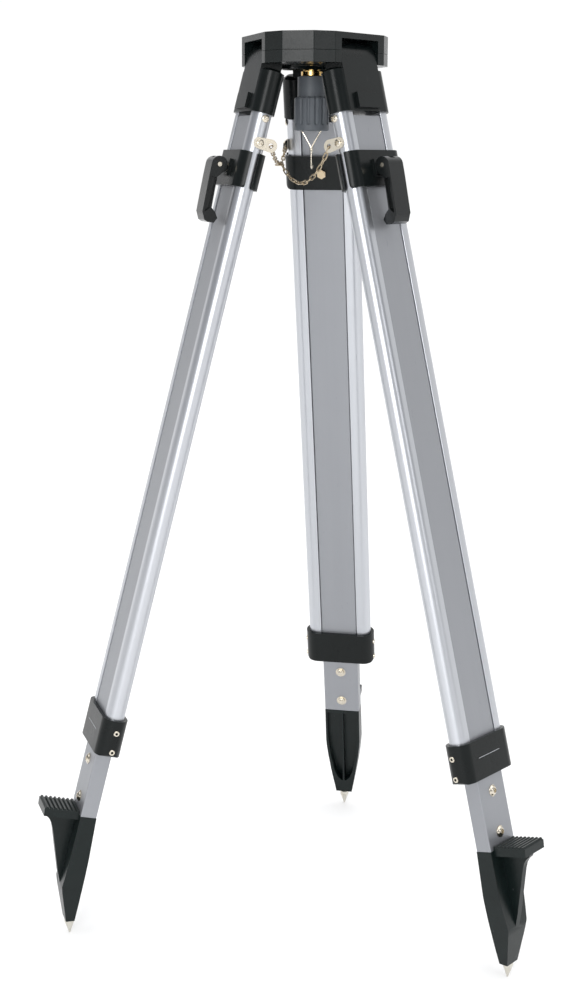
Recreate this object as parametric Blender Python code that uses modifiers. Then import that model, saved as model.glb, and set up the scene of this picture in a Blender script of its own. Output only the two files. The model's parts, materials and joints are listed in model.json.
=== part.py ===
"""Aluminium surveyor tripod with quick clamps, standing open on its three spikes.

Units are metres, +Z is up and the spikes touch Z = 0. The rear leg points to +Y, the other two
stand at 120 degrees to it. The head's axis is moved along Y so that the middle of the footprint
is at the origin. Each leg is drawn in its own frame: X across the leg, Y outward, Z up along it,
with the origin on the leg's hinge, and stations along a leg are distances below that hinge.
"""

import math

import bmesh
import bpy
from mathutils import Matrix, Vector

# ---------------------------------------------------------------- clearances
GAP = 0.0003            # between faces that touch on the real tripod
PIN_PLAY = 0.0003       # round a pin or bolt in its hole
SLIDE_PLAY = 0.0004     # round a piece that slides
SWING_PLAY = 0.0010     # beside a piece that turns in a slot

# ---------------------------------------------------------------- stance and head
SPREAD = math.radians(14.7)
LEG_DIRECTIONS = {"rear": 90.0, "left": 210.0, "right": 330.0}
CHAIN_SIDES = {"rear": -1.0, "left": -1.0, "right": 1.0}
HINGE_RADIUS = 0.0516
HEAD_LOBE_APOTHEM = 0.0850
HEAD_LOBE_WIDTH = 0.0350
HEAD_LEG_APOTHEM = 0.0695
HEAD_LEG_WIDTH = 0.0850
TOP_PLATE_THICKNESS = 0.0195
BASE_PLATE_THICKNESS = 0.0127
HEAD_HOLE_RADIUS = 0.0325
HEAD_EDGE_RADIUS = 0.0015
HEAD_CORNER = 0.0030
CUT_MARGIN = 0.0100
CUT_REACH = 0.0500
SLOT_REACH = 0.1200
JOIN = 0.0010
BLOCK_ROOT = 0.0040
HINGE_PIN_RADIUS = 0.0040
HINGE_PIN_OVERHANG = 0.0070
BARREL_RADIUS = 0.0095
SLOT_DEPTH = 0.0130

# ---------------------------------------------------------------- legs, measured from the hinge
UPPER_LEG_LENGTH = 0.8180
SOCKET_TOP = 0.0230
YOKE_LENGTH = 0.0690
YOKE_WALL = 0.0028
SOCKET_CROWN = 0.0030
SOCKET_STEP = 0.0002
TONGUE_HALF_WIDTH = 0.0308
TONGUE_BACK = -0.0100
TONGUE_CROWN = ((-0.0075, 0.0000), (-0.0010, 0.0014), (0.0035, 0.0027), (0.0070, 0.0054))
BLOCK_WIDTH = 0.0380
BLOCK_HEIGHT = 0.0170
BLOCK_RISE = 0.0040
BLOCK_LIFT = 0.0030

TUBE_WIDTH = 0.0480
TUBE_THICKNESS = 0.0195
TUBE_WALL = 0.0018
TUBE_CORNER = 0.0012
TUBE_TOP_DROP = 0.0040
RAIL_THICKNESS = 0.0216
RAIL_WIDTH = 0.0178
RAIL_WALL = 0.0016

COLLAR_HEIGHT = 0.0440
COLLAR_WALL = 0.0042
COLLAR_CORNER = 0.0065
RAIL_END_COVER = 0.0080

CLAMP_DROP = 0.0435
CLAMP_HEIGHT = 0.0400
CLAMP_WALL = 0.0036
CLAMP_SPLIT = 0.0042
CLAMP_BOLT_RADIUS = 0.0040
CLAMP_NUT_RADIUS = 0.0056
CLAMP_NUT_HEIGHT = 0.0045
CLAMP_CORNER = 0.0060
CLAMP_PAD_HALF_WIDTH = 0.0120
CLAMP_PAD_HALF_HEIGHT = 0.0095
LEVER_PIVOT_OUT = 0.0280
LEVER_WIDTH = 0.0260
LEVER_LENGTH = 0.0650
LEVER_WAIST = 0.0003
LEVER_SHOULDER = 0.0140
LEVER_HEEL = 0.0040
LEVER_TOE = ((0.0070, 0.0100), (0.0025, 0.0015), (-0.0020, 0.0000), (-0.0090, 0.0010),
             (-0.0118, 0.0070), (-0.0075, 0.0130), (-0.0025, 0.0165))
LEVER_ARM = 0.0095
LEVER_BARREL = 0.0092
LEVER_PIN_RADIUS = 0.0025
EYE_RADIUS = 0.0062
EYE_WIDTH = 0.0080

SHOE_DROP = 0.0830
SHOE_LENGTH = 0.1360
SHOE_TIP_WIDTH = 0.0196
SHOE_TIP_THICKNESS = 0.0090
SHOE_LEAN = 0.0080
SPIGOT_LENGTH = 0.0760
PEG_REACH = 0.0430
PEG_WIDTH = 0.0380
PEG_THICKNESS = 0.0095
PEG_RISE = 0.0035
PEG_RIB_START = 0.0010
PEG_ROOT = 0.0030
PEG_RAKE = 0.0010
FIN_INSET = 0.0045
FIN_THICKNESS = 0.0080
FIN_PROFILE = ((0.0105, 0.0070), (0.0135, 0.0115), (0.0180, 0.0155), (0.0250, 0.0188),
               (0.0400, 0.0240), (0.0530, 0.0283), (0.0770, 0.0370), (0.0940, 0.0440))
SHOE_POINT_START = 0.66
SHOE_TAPER_START = 0.35
SHOE_TAPER_CURVE = 1.35
SHOE_WEB_FRONT = 0.0005
SHOE_WEB_BACK = -0.0035
SHOE_RIB = 0.0024
FRONT_RECESS = ((0.0120, 0.0030), (0.0400, 0.0030), (0.0640, 0.0050), (0.0840, 0.0095),
                (0.0970, 0.0140))
BACK_RECESS = ((0.0050, 0.0030), (0.0450, 0.0030), (0.0750, 0.0032), (0.1000, 0.0040),
               (0.1110, 0.0065), (0.1165, 0.0110))
PEG_RIB_COUNT = 8
PEG_RIB_HEIGHT = 0.0020
SPIKE_RADIUS = 0.0060
SPIKE_LENGTH = 0.0185
SPIKE_SHANK = 0.0140
SPIKE_SHANK_RADIUS = 0.0027
SPIKE_COLLAR = 0.0040
SPIKE_POINT = 0.0008
SHOE_TRIM = 0.0050
FOOT_BOLT_RADIUS = 0.0030
FOOT_BOLT_HEAD_RADIUS = 0.0058
FOOT_BOLT_HEAD = 0.0032
BOLT_END = 0.0008
FOOT_BOLT_DROPS = {"upper": 0.0190, "lower": 0.0660}

TAB_DROP = 0.0320
TAB_REACH = 0.0150
TAB_RADIUS = 0.0072
TAB_THICKNESS = 0.0015
TAB_HOLE = 0.0028
CHAIN_RADIUS = 0.0016
CHAIN_SAGS = {"rear": 0.0060, "left": 0.0040, "right": 0.0200}
RING_PLACE = (-0.0385, 0.0085)
RING_DROP = 0.1220
RING_RADIUS = 0.0045
RING_WIRE = 0.0012

# ---------------------------------------------------------------- centre screw, on the head's axis
ARM_WIDTH = 0.0340
ARM_THICKNESS = 0.0040
ARM_PIVOT_RADIUS = 0.0600
ARM_PIVOT_ANGLE = math.radians(30.0)
ARM_YOKE_CLEARANCE = 0.0136
ARM_PIN_RADIUS = 0.0040
ARM_SLOT_WIDTH = 0.0200
ARM_SLOT_LENGTH = 0.0520
BUSH_RADIUS = 0.0120
BUSH_NECK_RADIUS = 0.0096
STUD_RADIUS = 0.0079
STUD_SINK = 0.0020
BUSH_BOTTOM_DROP = 0.0064
KNOB_NECK_RADIUS = 0.0160
KNOB_NECK_HEIGHT = 0.0232
KNOB_GRIP_RADIUS = 0.0198
KNOB_GRIP_HEIGHT = 0.0365
KNOB_FLUTES = 14
KNOB_FLUTE_RADIUS = 0.0019
HOOK_WIRE = 0.0008
HOOK_HALF_WIDTH = 0.0112
HOOK_DROP = 0.0180
HOOK_LENGTH = 0.0420
HOOK_POCKET = 0.0030

# ---------------------------------------------------------------- worked out from the sizes above
COLLAR_TOP = UPPER_LEG_LENGTH - COLLAR_HEIGHT
RAIL_TOP = SOCKET_TOP + YOKE_WALL + GAP
RAIL_END = UPPER_LEG_LENGTH - RAIL_END_COVER
RAIL_INNER = TUBE_WIDTH / 2 + SLIDE_PLAY
RAIL_RADIUS = RAIL_THICKNESS / 2
RAIL_CENTRE = RAIL_INNER + RAIL_WIDTH - RAIL_RADIUS
LEG_HALF_WIDTH = RAIL_CENTRE + RAIL_RADIUS
CLAMP_TOP = YOKE_LENGTH + CLAMP_DROP
CLAMP_MIDDLE = CLAMP_TOP + CLAMP_HEIGHT / 2
CLAMP_END = CLAMP_TOP + CLAMP_HEIGHT
TUBE_TOP = YOKE_LENGTH + TUBE_TOP_DROP
SHOE_TOP = UPPER_LEG_LENGTH + SHOE_DROP
SHOE_END = SHOE_TOP + SHOE_LENGTH
SHOE_BACK = -TUBE_THICKNESS / 2
SPIKE_OUT = SHOE_BACK - SHOE_LEAN + SHOE_TIP_THICKNESS / 2
HINGE_HEIGHT = SHOE_END * math.cos(SPREAD) - SPIKE_OUT * math.sin(SPREAD) + SPIKE_LENGTH
HEAD_TOP = HINGE_HEIGHT + GAP / 2 + TOP_PLATE_THICKNESS
HEAD_BOTTOM = HINGE_HEIGHT - GAP / 2 - BASE_PLATE_THICKNESS
SLOT_HALF_WIDTH = TONGUE_HALF_WIDTH + SWING_PLAY
PEG_END = TUBE_THICKNESS / 2 + PEG_REACH
FOOT_REACH = HINGE_RADIUS + SHOE_TOP * math.sin(SPREAD) + PEG_END * math.cos(SPREAD)
HEAD_Y = -(FOOT_REACH - FOOT_REACH / 2 - PEG_WIDTH / 2 * math.cos(math.radians(30.0))) / 2
ARM_REACH = ARM_PIVOT_RADIUS + HINGE_RADIUS - ARM_YOKE_CLEARANCE
ARM_TOP = HEAD_BOTTOM - GAP
ARM_BOTTOM = ARM_TOP - ARM_THICKNESS
BUSH_BOTTOM = ARM_BOTTOM - GAP - BUSH_BOTTOM_DROP
KNOB_TOP = BUSH_BOTTOM - GAP
GRIP_TOP = KNOB_TOP - KNOB_NECK_HEIGHT
KNOB_BOTTOM = GRIP_TOP - KNOB_GRIP_HEIGHT

SIDE_VIEW = Matrix(((0, 0, 1, 0), (1, 0, 0, 0), (0, 1, 0, 0), (0, 0, 0, 1)))
FRONT_VIEW = Matrix.Rotation(math.radians(90.0), 4, "X")
ALONG_Y = Matrix.Rotation(math.radians(90.0), 4, "X")
ALONG_X = Matrix.Rotation(math.radians(90.0), 4, "Y")


# ---------------------------------------------------------------- scene and materials
def clear_scene():
    """Remove what a new file holds."""
    for item in list(bpy.data.objects):
        bpy.data.objects.remove(item, do_unlink=True)


def collection(name):
    """Return a new collection linked to the scene."""
    made = bpy.data.collections.new(name)
    bpy.context.scene.collection.children.link(made)
    return made


def material(name, colour, roughness, metallic):
    """Return a Principled material with one colour."""
    made = bpy.data.materials.new(name)
    made.use_nodes = True
    shader = made.node_tree.nodes["Principled BSDF"]
    shader.inputs["Base Color"].default_value = (*colour, 1.0)
    shader.inputs["Roughness"].default_value = roughness
    shader.inputs["Metallic"].default_value = metallic
    return made


# ---------------------------------------------------------------- shapes
def arc(centre_x, centre_y, radius, start, end, steps):
    """Points of an arc, with its angles in degrees."""
    angles = [math.radians(start + (end - start) * i / steps) for i in range(steps + 1)]
    return [(centre_x + radius * math.cos(a), centre_y + radius * math.sin(a)) for a in angles]


def rounded(points, radius, steps=3):
    """Round the corners of a closed outline, each by no more than its sides allow."""
    made = []
    count = len(points)
    for index, point in enumerate(points):
        corner = Vector(point)
        before = Vector(points[index - 1]) - corner
        after = Vector(points[(index + 1) % count]) - corner
        half_angle = before.angle(after) / 2
        setback = min(radius / math.tan(half_angle), 0.45 * before.length, 0.45 * after.length)
        start = corner + before.normalized() * setback
        end = corner + after.normalized() * setback
        for step in range(steps + 1):
            t = step / steps
            made.append(tuple(start * (1 - t) ** 2 + corner * 2 * t * (1 - t) + end * t ** 2))
    return made


def box_outline(half_x, low_y, high_y):
    """Outline of a rectangle centred across X."""
    return [(-half_x, low_y), (half_x, low_y), (half_x, high_y), (-half_x, high_y)]


def mesh_of(item):
    """Turn an object with its modifiers into a welded mesh, and remove the object."""
    graph = bpy.context.evaluated_depsgraph_get()
    mesh = bpy.data.meshes.new_from_object(item.evaluated_get(graph))
    work = bmesh.new()
    work.from_mesh(mesh)
    bmesh.ops.remove_doubles(work, verts=work.verts, dist=1e-6)
    work.to_mesh(mesh)
    work.free()
    bpy.data.objects.remove(item, do_unlink=True)
    return mesh


def extruded(loops, low, high, view=None):
    """Solid between two heights from a flat outline; further loops are holes."""
    curve = bpy.data.curves.new("outline", "CURVE")
    curve.dimensions = "2D"
    curve.fill_mode = "BOTH"
    curve.extrude = (high - low) / 2
    for loop in loops:
        spline = curve.splines.new("POLY")
        spline.points.add(len(loop) - 1)
        for point, place in zip(spline.points, loop):
            point.co = (place[0], place[1], 0.0, 1.0)
        spline.use_cyclic_u = True
    item = bpy.data.objects.new("outline", curve)
    bpy.context.scene.collection.objects.link(item)
    mesh = mesh_of(item)
    mesh.transform(Matrix.Translation((0.0, 0.0, (low + high) / 2)))
    if view is not None:
        mesh.transform(view)
    return mesh


def cylinder(radius, low, high, sides=20, view=None, centre=(0.0, 0.0, 0.0), top_radius=None):
    """Closed cylinder or cone along Z between two heights, then turned and moved."""
    work = bmesh.new()
    upper = radius if top_radius is None else top_radius
    bmesh.ops.create_cone(
        work, cap_ends=True, segments=sides, radius1=radius, radius2=upper, depth=high - low
    )
    bmesh.ops.translate(work, verts=work.verts, vec=(0.0, 0.0, (low + high) / 2))
    mesh = bpy.data.meshes.new("cylinder")
    work.to_mesh(mesh)
    work.free()
    if view is not None:
        mesh.transform(view)
    mesh.transform(Matrix.Translation(centre))
    return mesh


def box(low, high):
    """Closed box between two corners."""
    work = bmesh.new()
    bmesh.ops.create_cube(work, size=1.0)
    size = Vector(high) - Vector(low)
    middle = (Vector(high) + Vector(low)) / 2
    bmesh.ops.scale(work, verts=work.verts, vec=size)
    bmesh.ops.translate(work, verts=work.verts, vec=middle)
    mesh = bpy.data.meshes.new("box")
    work.to_mesh(mesh)
    work.free()
    return mesh


def turned(profile, sides=28):
    """Turned solid about Z from a profile of (radius, height) points, top to bottom."""
    mesh = bpy.data.meshes.new("profile")
    points = [(radius, 0.0, height) for radius, height in profile]
    mesh.from_pydata(points, [(i, i + 1) for i in range(len(points) - 1)], [])
    item = bpy.data.objects.new("profile", mesh)
    bpy.context.scene.collection.objects.link(item)
    screw = item.modifiers.new("turn", "SCREW")
    screw.steps = sides
    screw.render_steps = sides
    screw.use_merge_vertices = True
    screw.merge_threshold = 0.00001
    return mesh_of(item)


def wire(points, radius, resolution=2, cyclic=False):
    """Round wire through a list of points."""
    curve = bpy.data.curves.new("wire", "CURVE")
    curve.dimensions = "3D"
    curve.bevel_depth = radius
    curve.bevel_resolution = resolution
    curve.use_fill_caps = not cyclic
    spline = curve.splines.new("POLY")
    spline.points.add(len(points) - 1)
    for point, place in zip(spline.points, points):
        point.co = (*place, 1.0)
    spline.use_cyclic_u = cyclic
    item = bpy.data.objects.new("wire", curve)
    bpy.context.scene.collection.objects.link(item)
    return mesh_of(item)


def combined(base, added=(), cut=()):
    """Join closed meshes to a base and cut others from it."""
    item = bpy.data.objects.new("work", base)
    bpy.context.scene.collection.objects.link(item)
    tools = []
    for operation, meshes in (("UNION", added), ("DIFFERENCE", cut)):
        for mesh in meshes:
            tool = bpy.data.objects.new("cutter", mesh)
            tool.hide_render = True
            tool.display_type = "WIRE"
            CUTTERS.objects.link(tool)
            tools.append(tool)
            boolean = item.modifiers.new("boolean", "BOOLEAN")
            boolean.operation = operation
            boolean.solver = "EXACT"
            boolean.object = tool
    mesh = mesh_of(item)
    for tool in tools:
        bpy.data.objects.remove(tool, do_unlink=True)
    return mesh


def bevelled(mesh, width, segments=1, angle=40.0):
    """Round a mesh's sharp edges."""
    item = bpy.data.objects.new("work", mesh)
    bpy.context.scene.collection.objects.link(item)
    bevel = item.modifiers.new("bevel", "BEVEL")
    bevel.width = width
    bevel.segments = segments
    bevel.limit_method = "ANGLE"
    bevel.angle_limit = math.radians(angle)
    return mesh_of(item)


def part(name, mesh, finish, parent=None, location=(0.0, 0.0, 0.0)):
    """Make the named object for a mesh, shade it and put it under its parent."""
    item = bpy.data.objects.new(name, mesh)
    PARTS.objects.link(item)
    mesh.materials.clear()
    mesh.materials.append(finish)
    mesh.shade_smooth()
    mesh.set_sharp_from_angle(angle=math.radians(35.0))
    item.parent = parent
    item.location = location
    return item


def empty(name, location, rotation=(0.0, 0.0, 0.0), parent=None):
    """Make an empty that carries the pieces of one moving group."""
    item = bpy.data.objects.new(name, None)
    PARTS.objects.link(item)
    item.location = location
    item.rotation_euler = rotation
    item.parent = parent
    return item


# ---------------------------------------------------------------- head
def head_outline():
    """Three lobes between the legs, cut flat where each leg hangs."""
    points = []
    for lobe in (30.0, 150.0, 270.0):
        for angle, apothem, width in (
            (lobe, HEAD_LOBE_APOTHEM, HEAD_LOBE_WIDTH),
            (lobe + 60.0, HEAD_LEG_APOTHEM, HEAD_LEG_WIDTH),
        ):
            turn = Matrix.Rotation(math.radians(angle), 2)
            points.append(tuple(turn @ Vector((apothem, -width / 2))))
            points.append(tuple(turn @ Vector((apothem, width / 2))))
    return rounded(points, HEAD_CORNER, 2)


def leg_turn(direction):
    """Rotation about Z that brings +Y to a leg's direction in degrees."""
    return Matrix.Rotation(math.radians(direction - 90.0), 4, "Z")


def head_cutters(low, high, slot_top):
    """Slots for the three tongues and half-round seats for their pins, in the head's frame."""
    cutters = [cylinder(HEAD_HOLE_RADIUS, low - CUT_MARGIN, high + CUT_MARGIN, 40)]
    pin_half = SLOT_HALF_WIDTH + HINGE_PIN_OVERHANG + PIN_PLAY
    for direction in LEG_DIRECTIONS.values():
        slot_inner = HINGE_RADIUS - BARREL_RADIUS - SWING_PLAY
        slot = box(
            (-SLOT_HALF_WIDTH, slot_inner, low - CUT_MARGIN), (SLOT_HALF_WIDTH, SLOT_REACH, slot_top)
        )
        slot.transform(leg_turn(direction))
        seat = cylinder(
            HINGE_PIN_RADIUS + PIN_PLAY, -pin_half, pin_half, 16, ALONG_X,
            (0.0, HINGE_RADIUS, HINGE_HEIGHT),
        )
        seat.transform(leg_turn(direction))
        cutters += [slot, seat]
    return cutters


def make_head(finish, steel):
    """Two-layer head: the plate that the instrument stands on and the base under it."""
    outline = head_outline()
    split_top = HINGE_HEIGHT + GAP / 2
    split_bottom = HINGE_HEIGHT - GAP / 2
    slot_top = HINGE_HEIGHT + SLOT_DEPTH
    top = bevelled(extruded([outline], split_top, HEAD_TOP), HEAD_EDGE_RADIUS)
    top = combined(top, cut=head_cutters(split_top, HEAD_TOP, slot_top))
    base = bevelled(extruded([outline], HEAD_BOTTOM, split_bottom), HEAD_EDGE_RADIUS)
    arm_pivot = Vector((ARM_PIVOT_RADIUS * math.cos(ARM_PIVOT_ANGLE),
                        ARM_PIVOT_RADIUS * math.sin(ARM_PIVOT_ANGLE), 0.0))
    pin_hole = cylinder(
        ARM_PIN_RADIUS + PIN_PLAY, HEAD_BOTTOM - CUT_MARGIN, split_bottom + CUT_MARGIN, 16, None, arm_pivot
    )
    cutters = head_cutters(HEAD_BOTTOM, split_bottom, split_bottom + CUT_MARGIN)
    base = combined(base, cut=cutters + [pin_hole])
    part("head_top_plate", top, finish, HEAD)
    part("head_base_plate", base, finish, HEAD)
    for leg, direction in LEG_DIRECTIONS.items():
        pin_half = SLOT_HALF_WIDTH + HINGE_PIN_OVERHANG
        pin = cylinder(HINGE_PIN_RADIUS, -pin_half, pin_half, 16, ALONG_X)
        carrier = empty(leg + "_hinge_seat", (0.0, 0.0, 0.0), (0.0, 0.0, 0.0), HEAD)
        carrier.rotation_euler = (0.0, 0.0, math.radians(direction - 90.0))
        part(leg + "_hinge_pin", pin, steel, carrier, (0.0, HINGE_RADIUS, HINGE_HEIGHT))


# ---------------------------------------------------------------- upper leg
def rail_outline(radius, inner):
    """D section of a rail at +X: flat beside the tube, round outside."""
    points = [(inner, -radius), (RAIL_CENTRE, -radius)]
    points += arc(RAIL_CENTRE, 0.0, radius, -75.0, 75.0, 10)
    points += [(RAIL_CENTRE, radius), (inner, radius)]
    return points


def rail_mesh():
    """Hollow D-section rail at +X."""
    outer = rail_outline(RAIL_RADIUS, RAIL_INNER)
    bore = rail_outline(RAIL_RADIUS - RAIL_WALL, RAIL_INNER + RAIL_WALL)
    return extruded([outer, bore], -RAIL_END, -RAIL_TOP)


def mirrored(mesh):
    """Copy of a mesh mirrored across X."""
    copy = mesh.copy()
    work = bmesh.new()
    work.from_mesh(copy)
    bmesh.ops.scale(work, verts=work.verts, vec=(-1.0, 1.0, 1.0))
    bmesh.ops.reverse_faces(work, faces=work.faces)
    work.to_mesh(copy)
    work.free()
    return copy


def rail_pocket(low, high, play):
    """Space of a rail in a casting, at +X."""
    outline = rail_outline(RAIL_RADIUS + play, RAIL_INNER - play)
    return extruded([outline], low, high)


def yoke_mesh():
    """Casting with a tongue hinged in the head and a socket over each rail."""
    front = RAIL_RADIUS + GAP + YOKE_WALL
    side = [(front, -YOKE_LENGTH), (TONGUE_BACK, -YOKE_LENGTH)]
    side += [(TONGUE_BACK, -SOCKET_TOP), (-BARREL_RADIUS, 0.0)]
    side += arc(0.0, 0.0, BARREL_RADIUS, 165.0, 65.0, 7)
    side += [(front - back, rise) for rise, back in reversed(TONGUE_CROWN)]
    tongue = extruded([side], -TONGUE_HALF_WIDTH, TONGUE_HALF_WIDTH, SIDE_VIEW)
    added = []
    for sign in (1.0, -1.0):
        sleeve = cylinder(front - SOCKET_STEP, -YOKE_LENGTH, -SOCKET_TOP, 28)
        sleeve.transform(Matrix.Translation((sign * RAIL_CENTRE, 0.0, 0.0)))
        crown = cylinder(front - 2 * SOCKET_STEP, -SOCKET_TOP - JOIN, -SOCKET_TOP + SOCKET_CROWN,
                         28, None, (sign * RAIL_CENTRE, 0.0, 0.0), front * 0.6)
        added += [sleeve, crown]
    block_low = -YOKE_LENGTH + BLOCK_LIFT
    added.append(box((-BLOCK_WIDTH / 2, front - BLOCK_ROOT, block_low),
                     (BLOCK_WIDTH / 2, front + BLOCK_RISE, block_low + BLOCK_HEIGHT)))
    pocket = rail_pocket(-YOKE_LENGTH - CUT_MARGIN, -RAIL_TOP + GAP, GAP)
    bore = cylinder(HINGE_PIN_RADIUS + PIN_PLAY, -CUT_REACH, CUT_REACH, 16, ALONG_X)
    return combined(tongue, added, [pocket, mirrored(pocket), bore])


def shell_outline(radius):
    """Outline that goes round both rails at one distance, as a stadium."""
    points = arc(RAIL_CENTRE, 0.0, radius, -90.0, 90.0, 14)
    points += arc(-RAIL_CENTRE, 0.0, radius, 90.0, 270.0, 14)
    return points


def collar_mesh():
    """Collar that closes the rails' lower ends and guides the tube."""
    radius = RAIL_RADIUS + GAP + COLLAR_WALL
    body = extruded([shell_outline(radius)], -UPPER_LEG_LENGTH, -COLLAR_TOP)
    pocket = rail_pocket(-RAIL_END - GAP, -COLLAR_TOP + CUT_MARGIN, GAP)
    half = TUBE_WIDTH / 2 + SLIDE_PLAY
    depth = TUBE_THICKNESS / 2 + SLIDE_PLAY
    passage = box((-half, -depth, -UPPER_LEG_LENGTH - CUT_MARGIN), (half, depth, -COLLAR_TOP + CUT_MARGIN))
    corners = corner_cutters(RAIL_CENTRE + radius, -UPPER_LEG_LENGTH, COLLAR_CORNER)
    return combined(body, cut=[pocket, mirrored(pocket), passage] + corners)


def tab_mesh(side):
    """Flat tab that stands inward from the rail and carries the chain."""
    foot = RAIL_RADIUS - BLOCK_ROOT
    outline = arc(-TAB_REACH, 0.0, TAB_RADIUS, 90.0, 270.0, 10)
    outline += arc(foot - TAB_RADIUS, 0.0, TAB_RADIUS * 0.85, -90.0, 90.0, 10)
    hole = arc(-TAB_REACH, 0.0, TAB_HOLE, 0.0, 330.0, 11)
    near = LEG_HALF_WIDTH + GAP
    tab = extruded([outline, hole], near, near + TAB_THICKNESS, SIDE_VIEW)
    if side < 0:
        tab = mirrored(tab)
    return tab


# ---------------------------------------------------------------- lower leg
def tube_mesh():
    """Rectangular tube with the holes of its bolts."""
    half = TUBE_WIDTH / 2
    depth = TUBE_THICKNESS / 2
    outer = rounded(box_outline(half, -depth, depth), TUBE_CORNER, 2)
    inner = box_outline(half - TUBE_WALL, -depth + TUBE_WALL, depth - TUBE_WALL)
    tube = extruded([outer, inner], -SHOE_TOP + GAP, -TUBE_TOP)
    holes = [cylinder(FOOT_BOLT_RADIUS + PIN_PLAY, -CUT_REACH, CUT_REACH, 12, ALONG_Y,
                      (0.0, 0.0, -UPPER_LEG_LENGTH - drop)) for drop in FOOT_BOLT_DROPS.values()]
    holes.append(cylinder(CLAMP_BOLT_RADIUS + PIN_PLAY, -CUT_REACH, CUT_REACH, 16, ALONG_Y,
                          (0.0, 0.0, -CLAMP_MIDDLE)))
    return combined(tube, cut=holes)


def corner_cutters(half_width, level, radius):
    """Tools that round the two lower corners of a shell at this level, seen from the front."""
    low_corner = [(half_width + JOIN, level - JOIN), (half_width + JOIN, level + radius)]
    low_corner.append((half_width + GAP, level + radius))
    low_corner += arc(half_width - radius, level + radius, radius + GAP, -6.0, -84.0, 5)
    low_corner += [(half_width - radius, level - GAP), (half_width - radius, level - JOIN)]
    tool = extruded([low_corner], -CUT_REACH, CUT_REACH, FRONT_VIEW)
    return [tool, mirrored(tool)]


def clamp_shell(sign):
    """Half shell round both rails: outward with sign 1, inward with sign -1."""
    play = SLIDE_PLAY
    outer = RAIL_RADIUS + play + CLAMP_WALL
    inner = RAIL_RADIUS + play
    lift = math.degrees(math.asin(CLAMP_SPLIT / outer))
    inner_lift = math.degrees(math.asin(CLAMP_SPLIT / inner))
    points = arc(RAIL_CENTRE, 0.0, outer, lift, 90.0, 8)
    points += arc(-RAIL_CENTRE, 0.0, outer, 90.0, 180.0 - lift, 8)
    points += arc(-RAIL_CENTRE, 0.0, inner, 180.0 - inner_lift, 90.0, 8)
    points += arc(RAIL_CENTRE, 0.0, inner, 90.0, inner_lift, 8)
    mesh = extruded([[(x, sign * y) for x, y in points]], -CLAMP_END, -CLAMP_TOP)
    bolt = cylinder(CLAMP_BOLT_RADIUS + PIN_PLAY, -CUT_REACH, CUT_REACH, 16, ALONG_Y,
                    (0.0, 0.0, -CLAMP_MIDDLE))
    reach = RAIL_CENTRE + outer * math.cos(math.radians(lift))
    pads = []
    if sign > 0:
        pads.append(box((-CLAMP_PAD_HALF_WIDTH, outer - JOIN, -CLAMP_MIDDLE - CLAMP_PAD_HALF_HEIGHT),
                        (CLAMP_PAD_HALF_WIDTH, LEVER_PIVOT_OUT - LEVER_BARREL - SWING_PLAY,
                         -CLAMP_MIDDLE + CLAMP_PAD_HALF_HEIGHT)))
    return combined(mesh, pads, [bolt] + corner_cutters(reach, -CLAMP_END, CLAMP_CORNER))


def clamp_bolt_mesh():
    """Bolt through both shells and the tube, with a nut inside and an eye for the lever."""
    back = -(RAIL_RADIUS + SLIDE_PLAY + CLAMP_WALL + GAP)
    shank = cylinder(CLAMP_BOLT_RADIUS, -LEVER_PIVOT_OUT + LEVER_PIN_RADIUS + PIN_PLAY + GAP,
                     -back + CLAMP_NUT_HEIGHT + BOLT_END, 16, ALONG_Y)
    nut = cylinder(CLAMP_NUT_RADIUS, -back, -back + CLAMP_NUT_HEIGHT, 6, ALONG_Y)
    eye = cylinder(EYE_RADIUS, -EYE_WIDTH / 2, EYE_WIDTH / 2, 20, ALONG_X,
                   (0.0, LEVER_PIVOT_OUT, 0.0))
    bore = cylinder(LEVER_PIN_RADIUS + PIN_PLAY, -CUT_REACH, CUT_REACH, 12, ALONG_X,
                    (0.0, LEVER_PIVOT_OUT, 0.0))
    return combined(shank, [nut, eye], [bore])


def lever_mesh():
    """Cam lever that hangs down along the clamp, hooked back at its end."""
    end = -LEVER_LENGTH
    outline = arc(0.0, 0.0, LEVER_BARREL, 180.0, 0.0, 10)
    outline.append((LEVER_BARREL - LEVER_WAIST, -LEVER_SHOULDER))
    outline += [(out, end + rise) for out, rise in LEVER_TOE]
    outline += [(LEVER_BARREL - LEVER_WAIST - LEVER_ARM, -LEVER_SHOULDER)]
    outline.append((-LEVER_BARREL, -LEVER_HEEL))
    arm = extruded([outline], -LEVER_WIDTH / 2, LEVER_WIDTH / 2, SIDE_VIEW)
    half = EYE_WIDTH / 2 + SWING_PLAY / 2
    reach = EYE_RADIUS + SLIDE_PLAY
    low = CLAMP_BOLT_RADIUS + SWING_PLAY
    low_angle = 180.0 + math.degrees(math.asin(low / reach))
    slot = [(reach, 0.02), (-0.02, 0.02), (-0.02, -low)]
    slot += arc(0.0, 0.0, reach, low_angle, 360.0, 10)
    bore = cylinder(LEVER_PIN_RADIUS + PIN_PLAY, -CUT_REACH, CUT_REACH, 12, ALONG_X)
    return combined(arm, cut=[extruded([slot], -half, half, SIDE_VIEW), bore])


def shoe_front(t):
    """Outward edge of the shoe's walls at a share of its length: in line with the tube, then a point."""
    point = max(0.0, t - SHOE_POINT_START) / (1.0 - SHOE_POINT_START)
    end_front = SHOE_BACK - SHOE_LEAN + SHOE_TIP_THICKNESS
    return TUBE_THICKNESS / 2 + (end_front - TUBE_THICKNESS / 2) * point


def shoe_half_width(t):
    """Half width of the shoe at a share of its length."""
    taper = max(0.0, t - SHOE_TAPER_START) / (1.0 - SHOE_TAPER_START)
    return TUBE_WIDTH / 2 + (SHOE_TIP_WIDTH - TUBE_WIDTH) / 2 * taper ** SHOE_TAPER_CURVE


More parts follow.
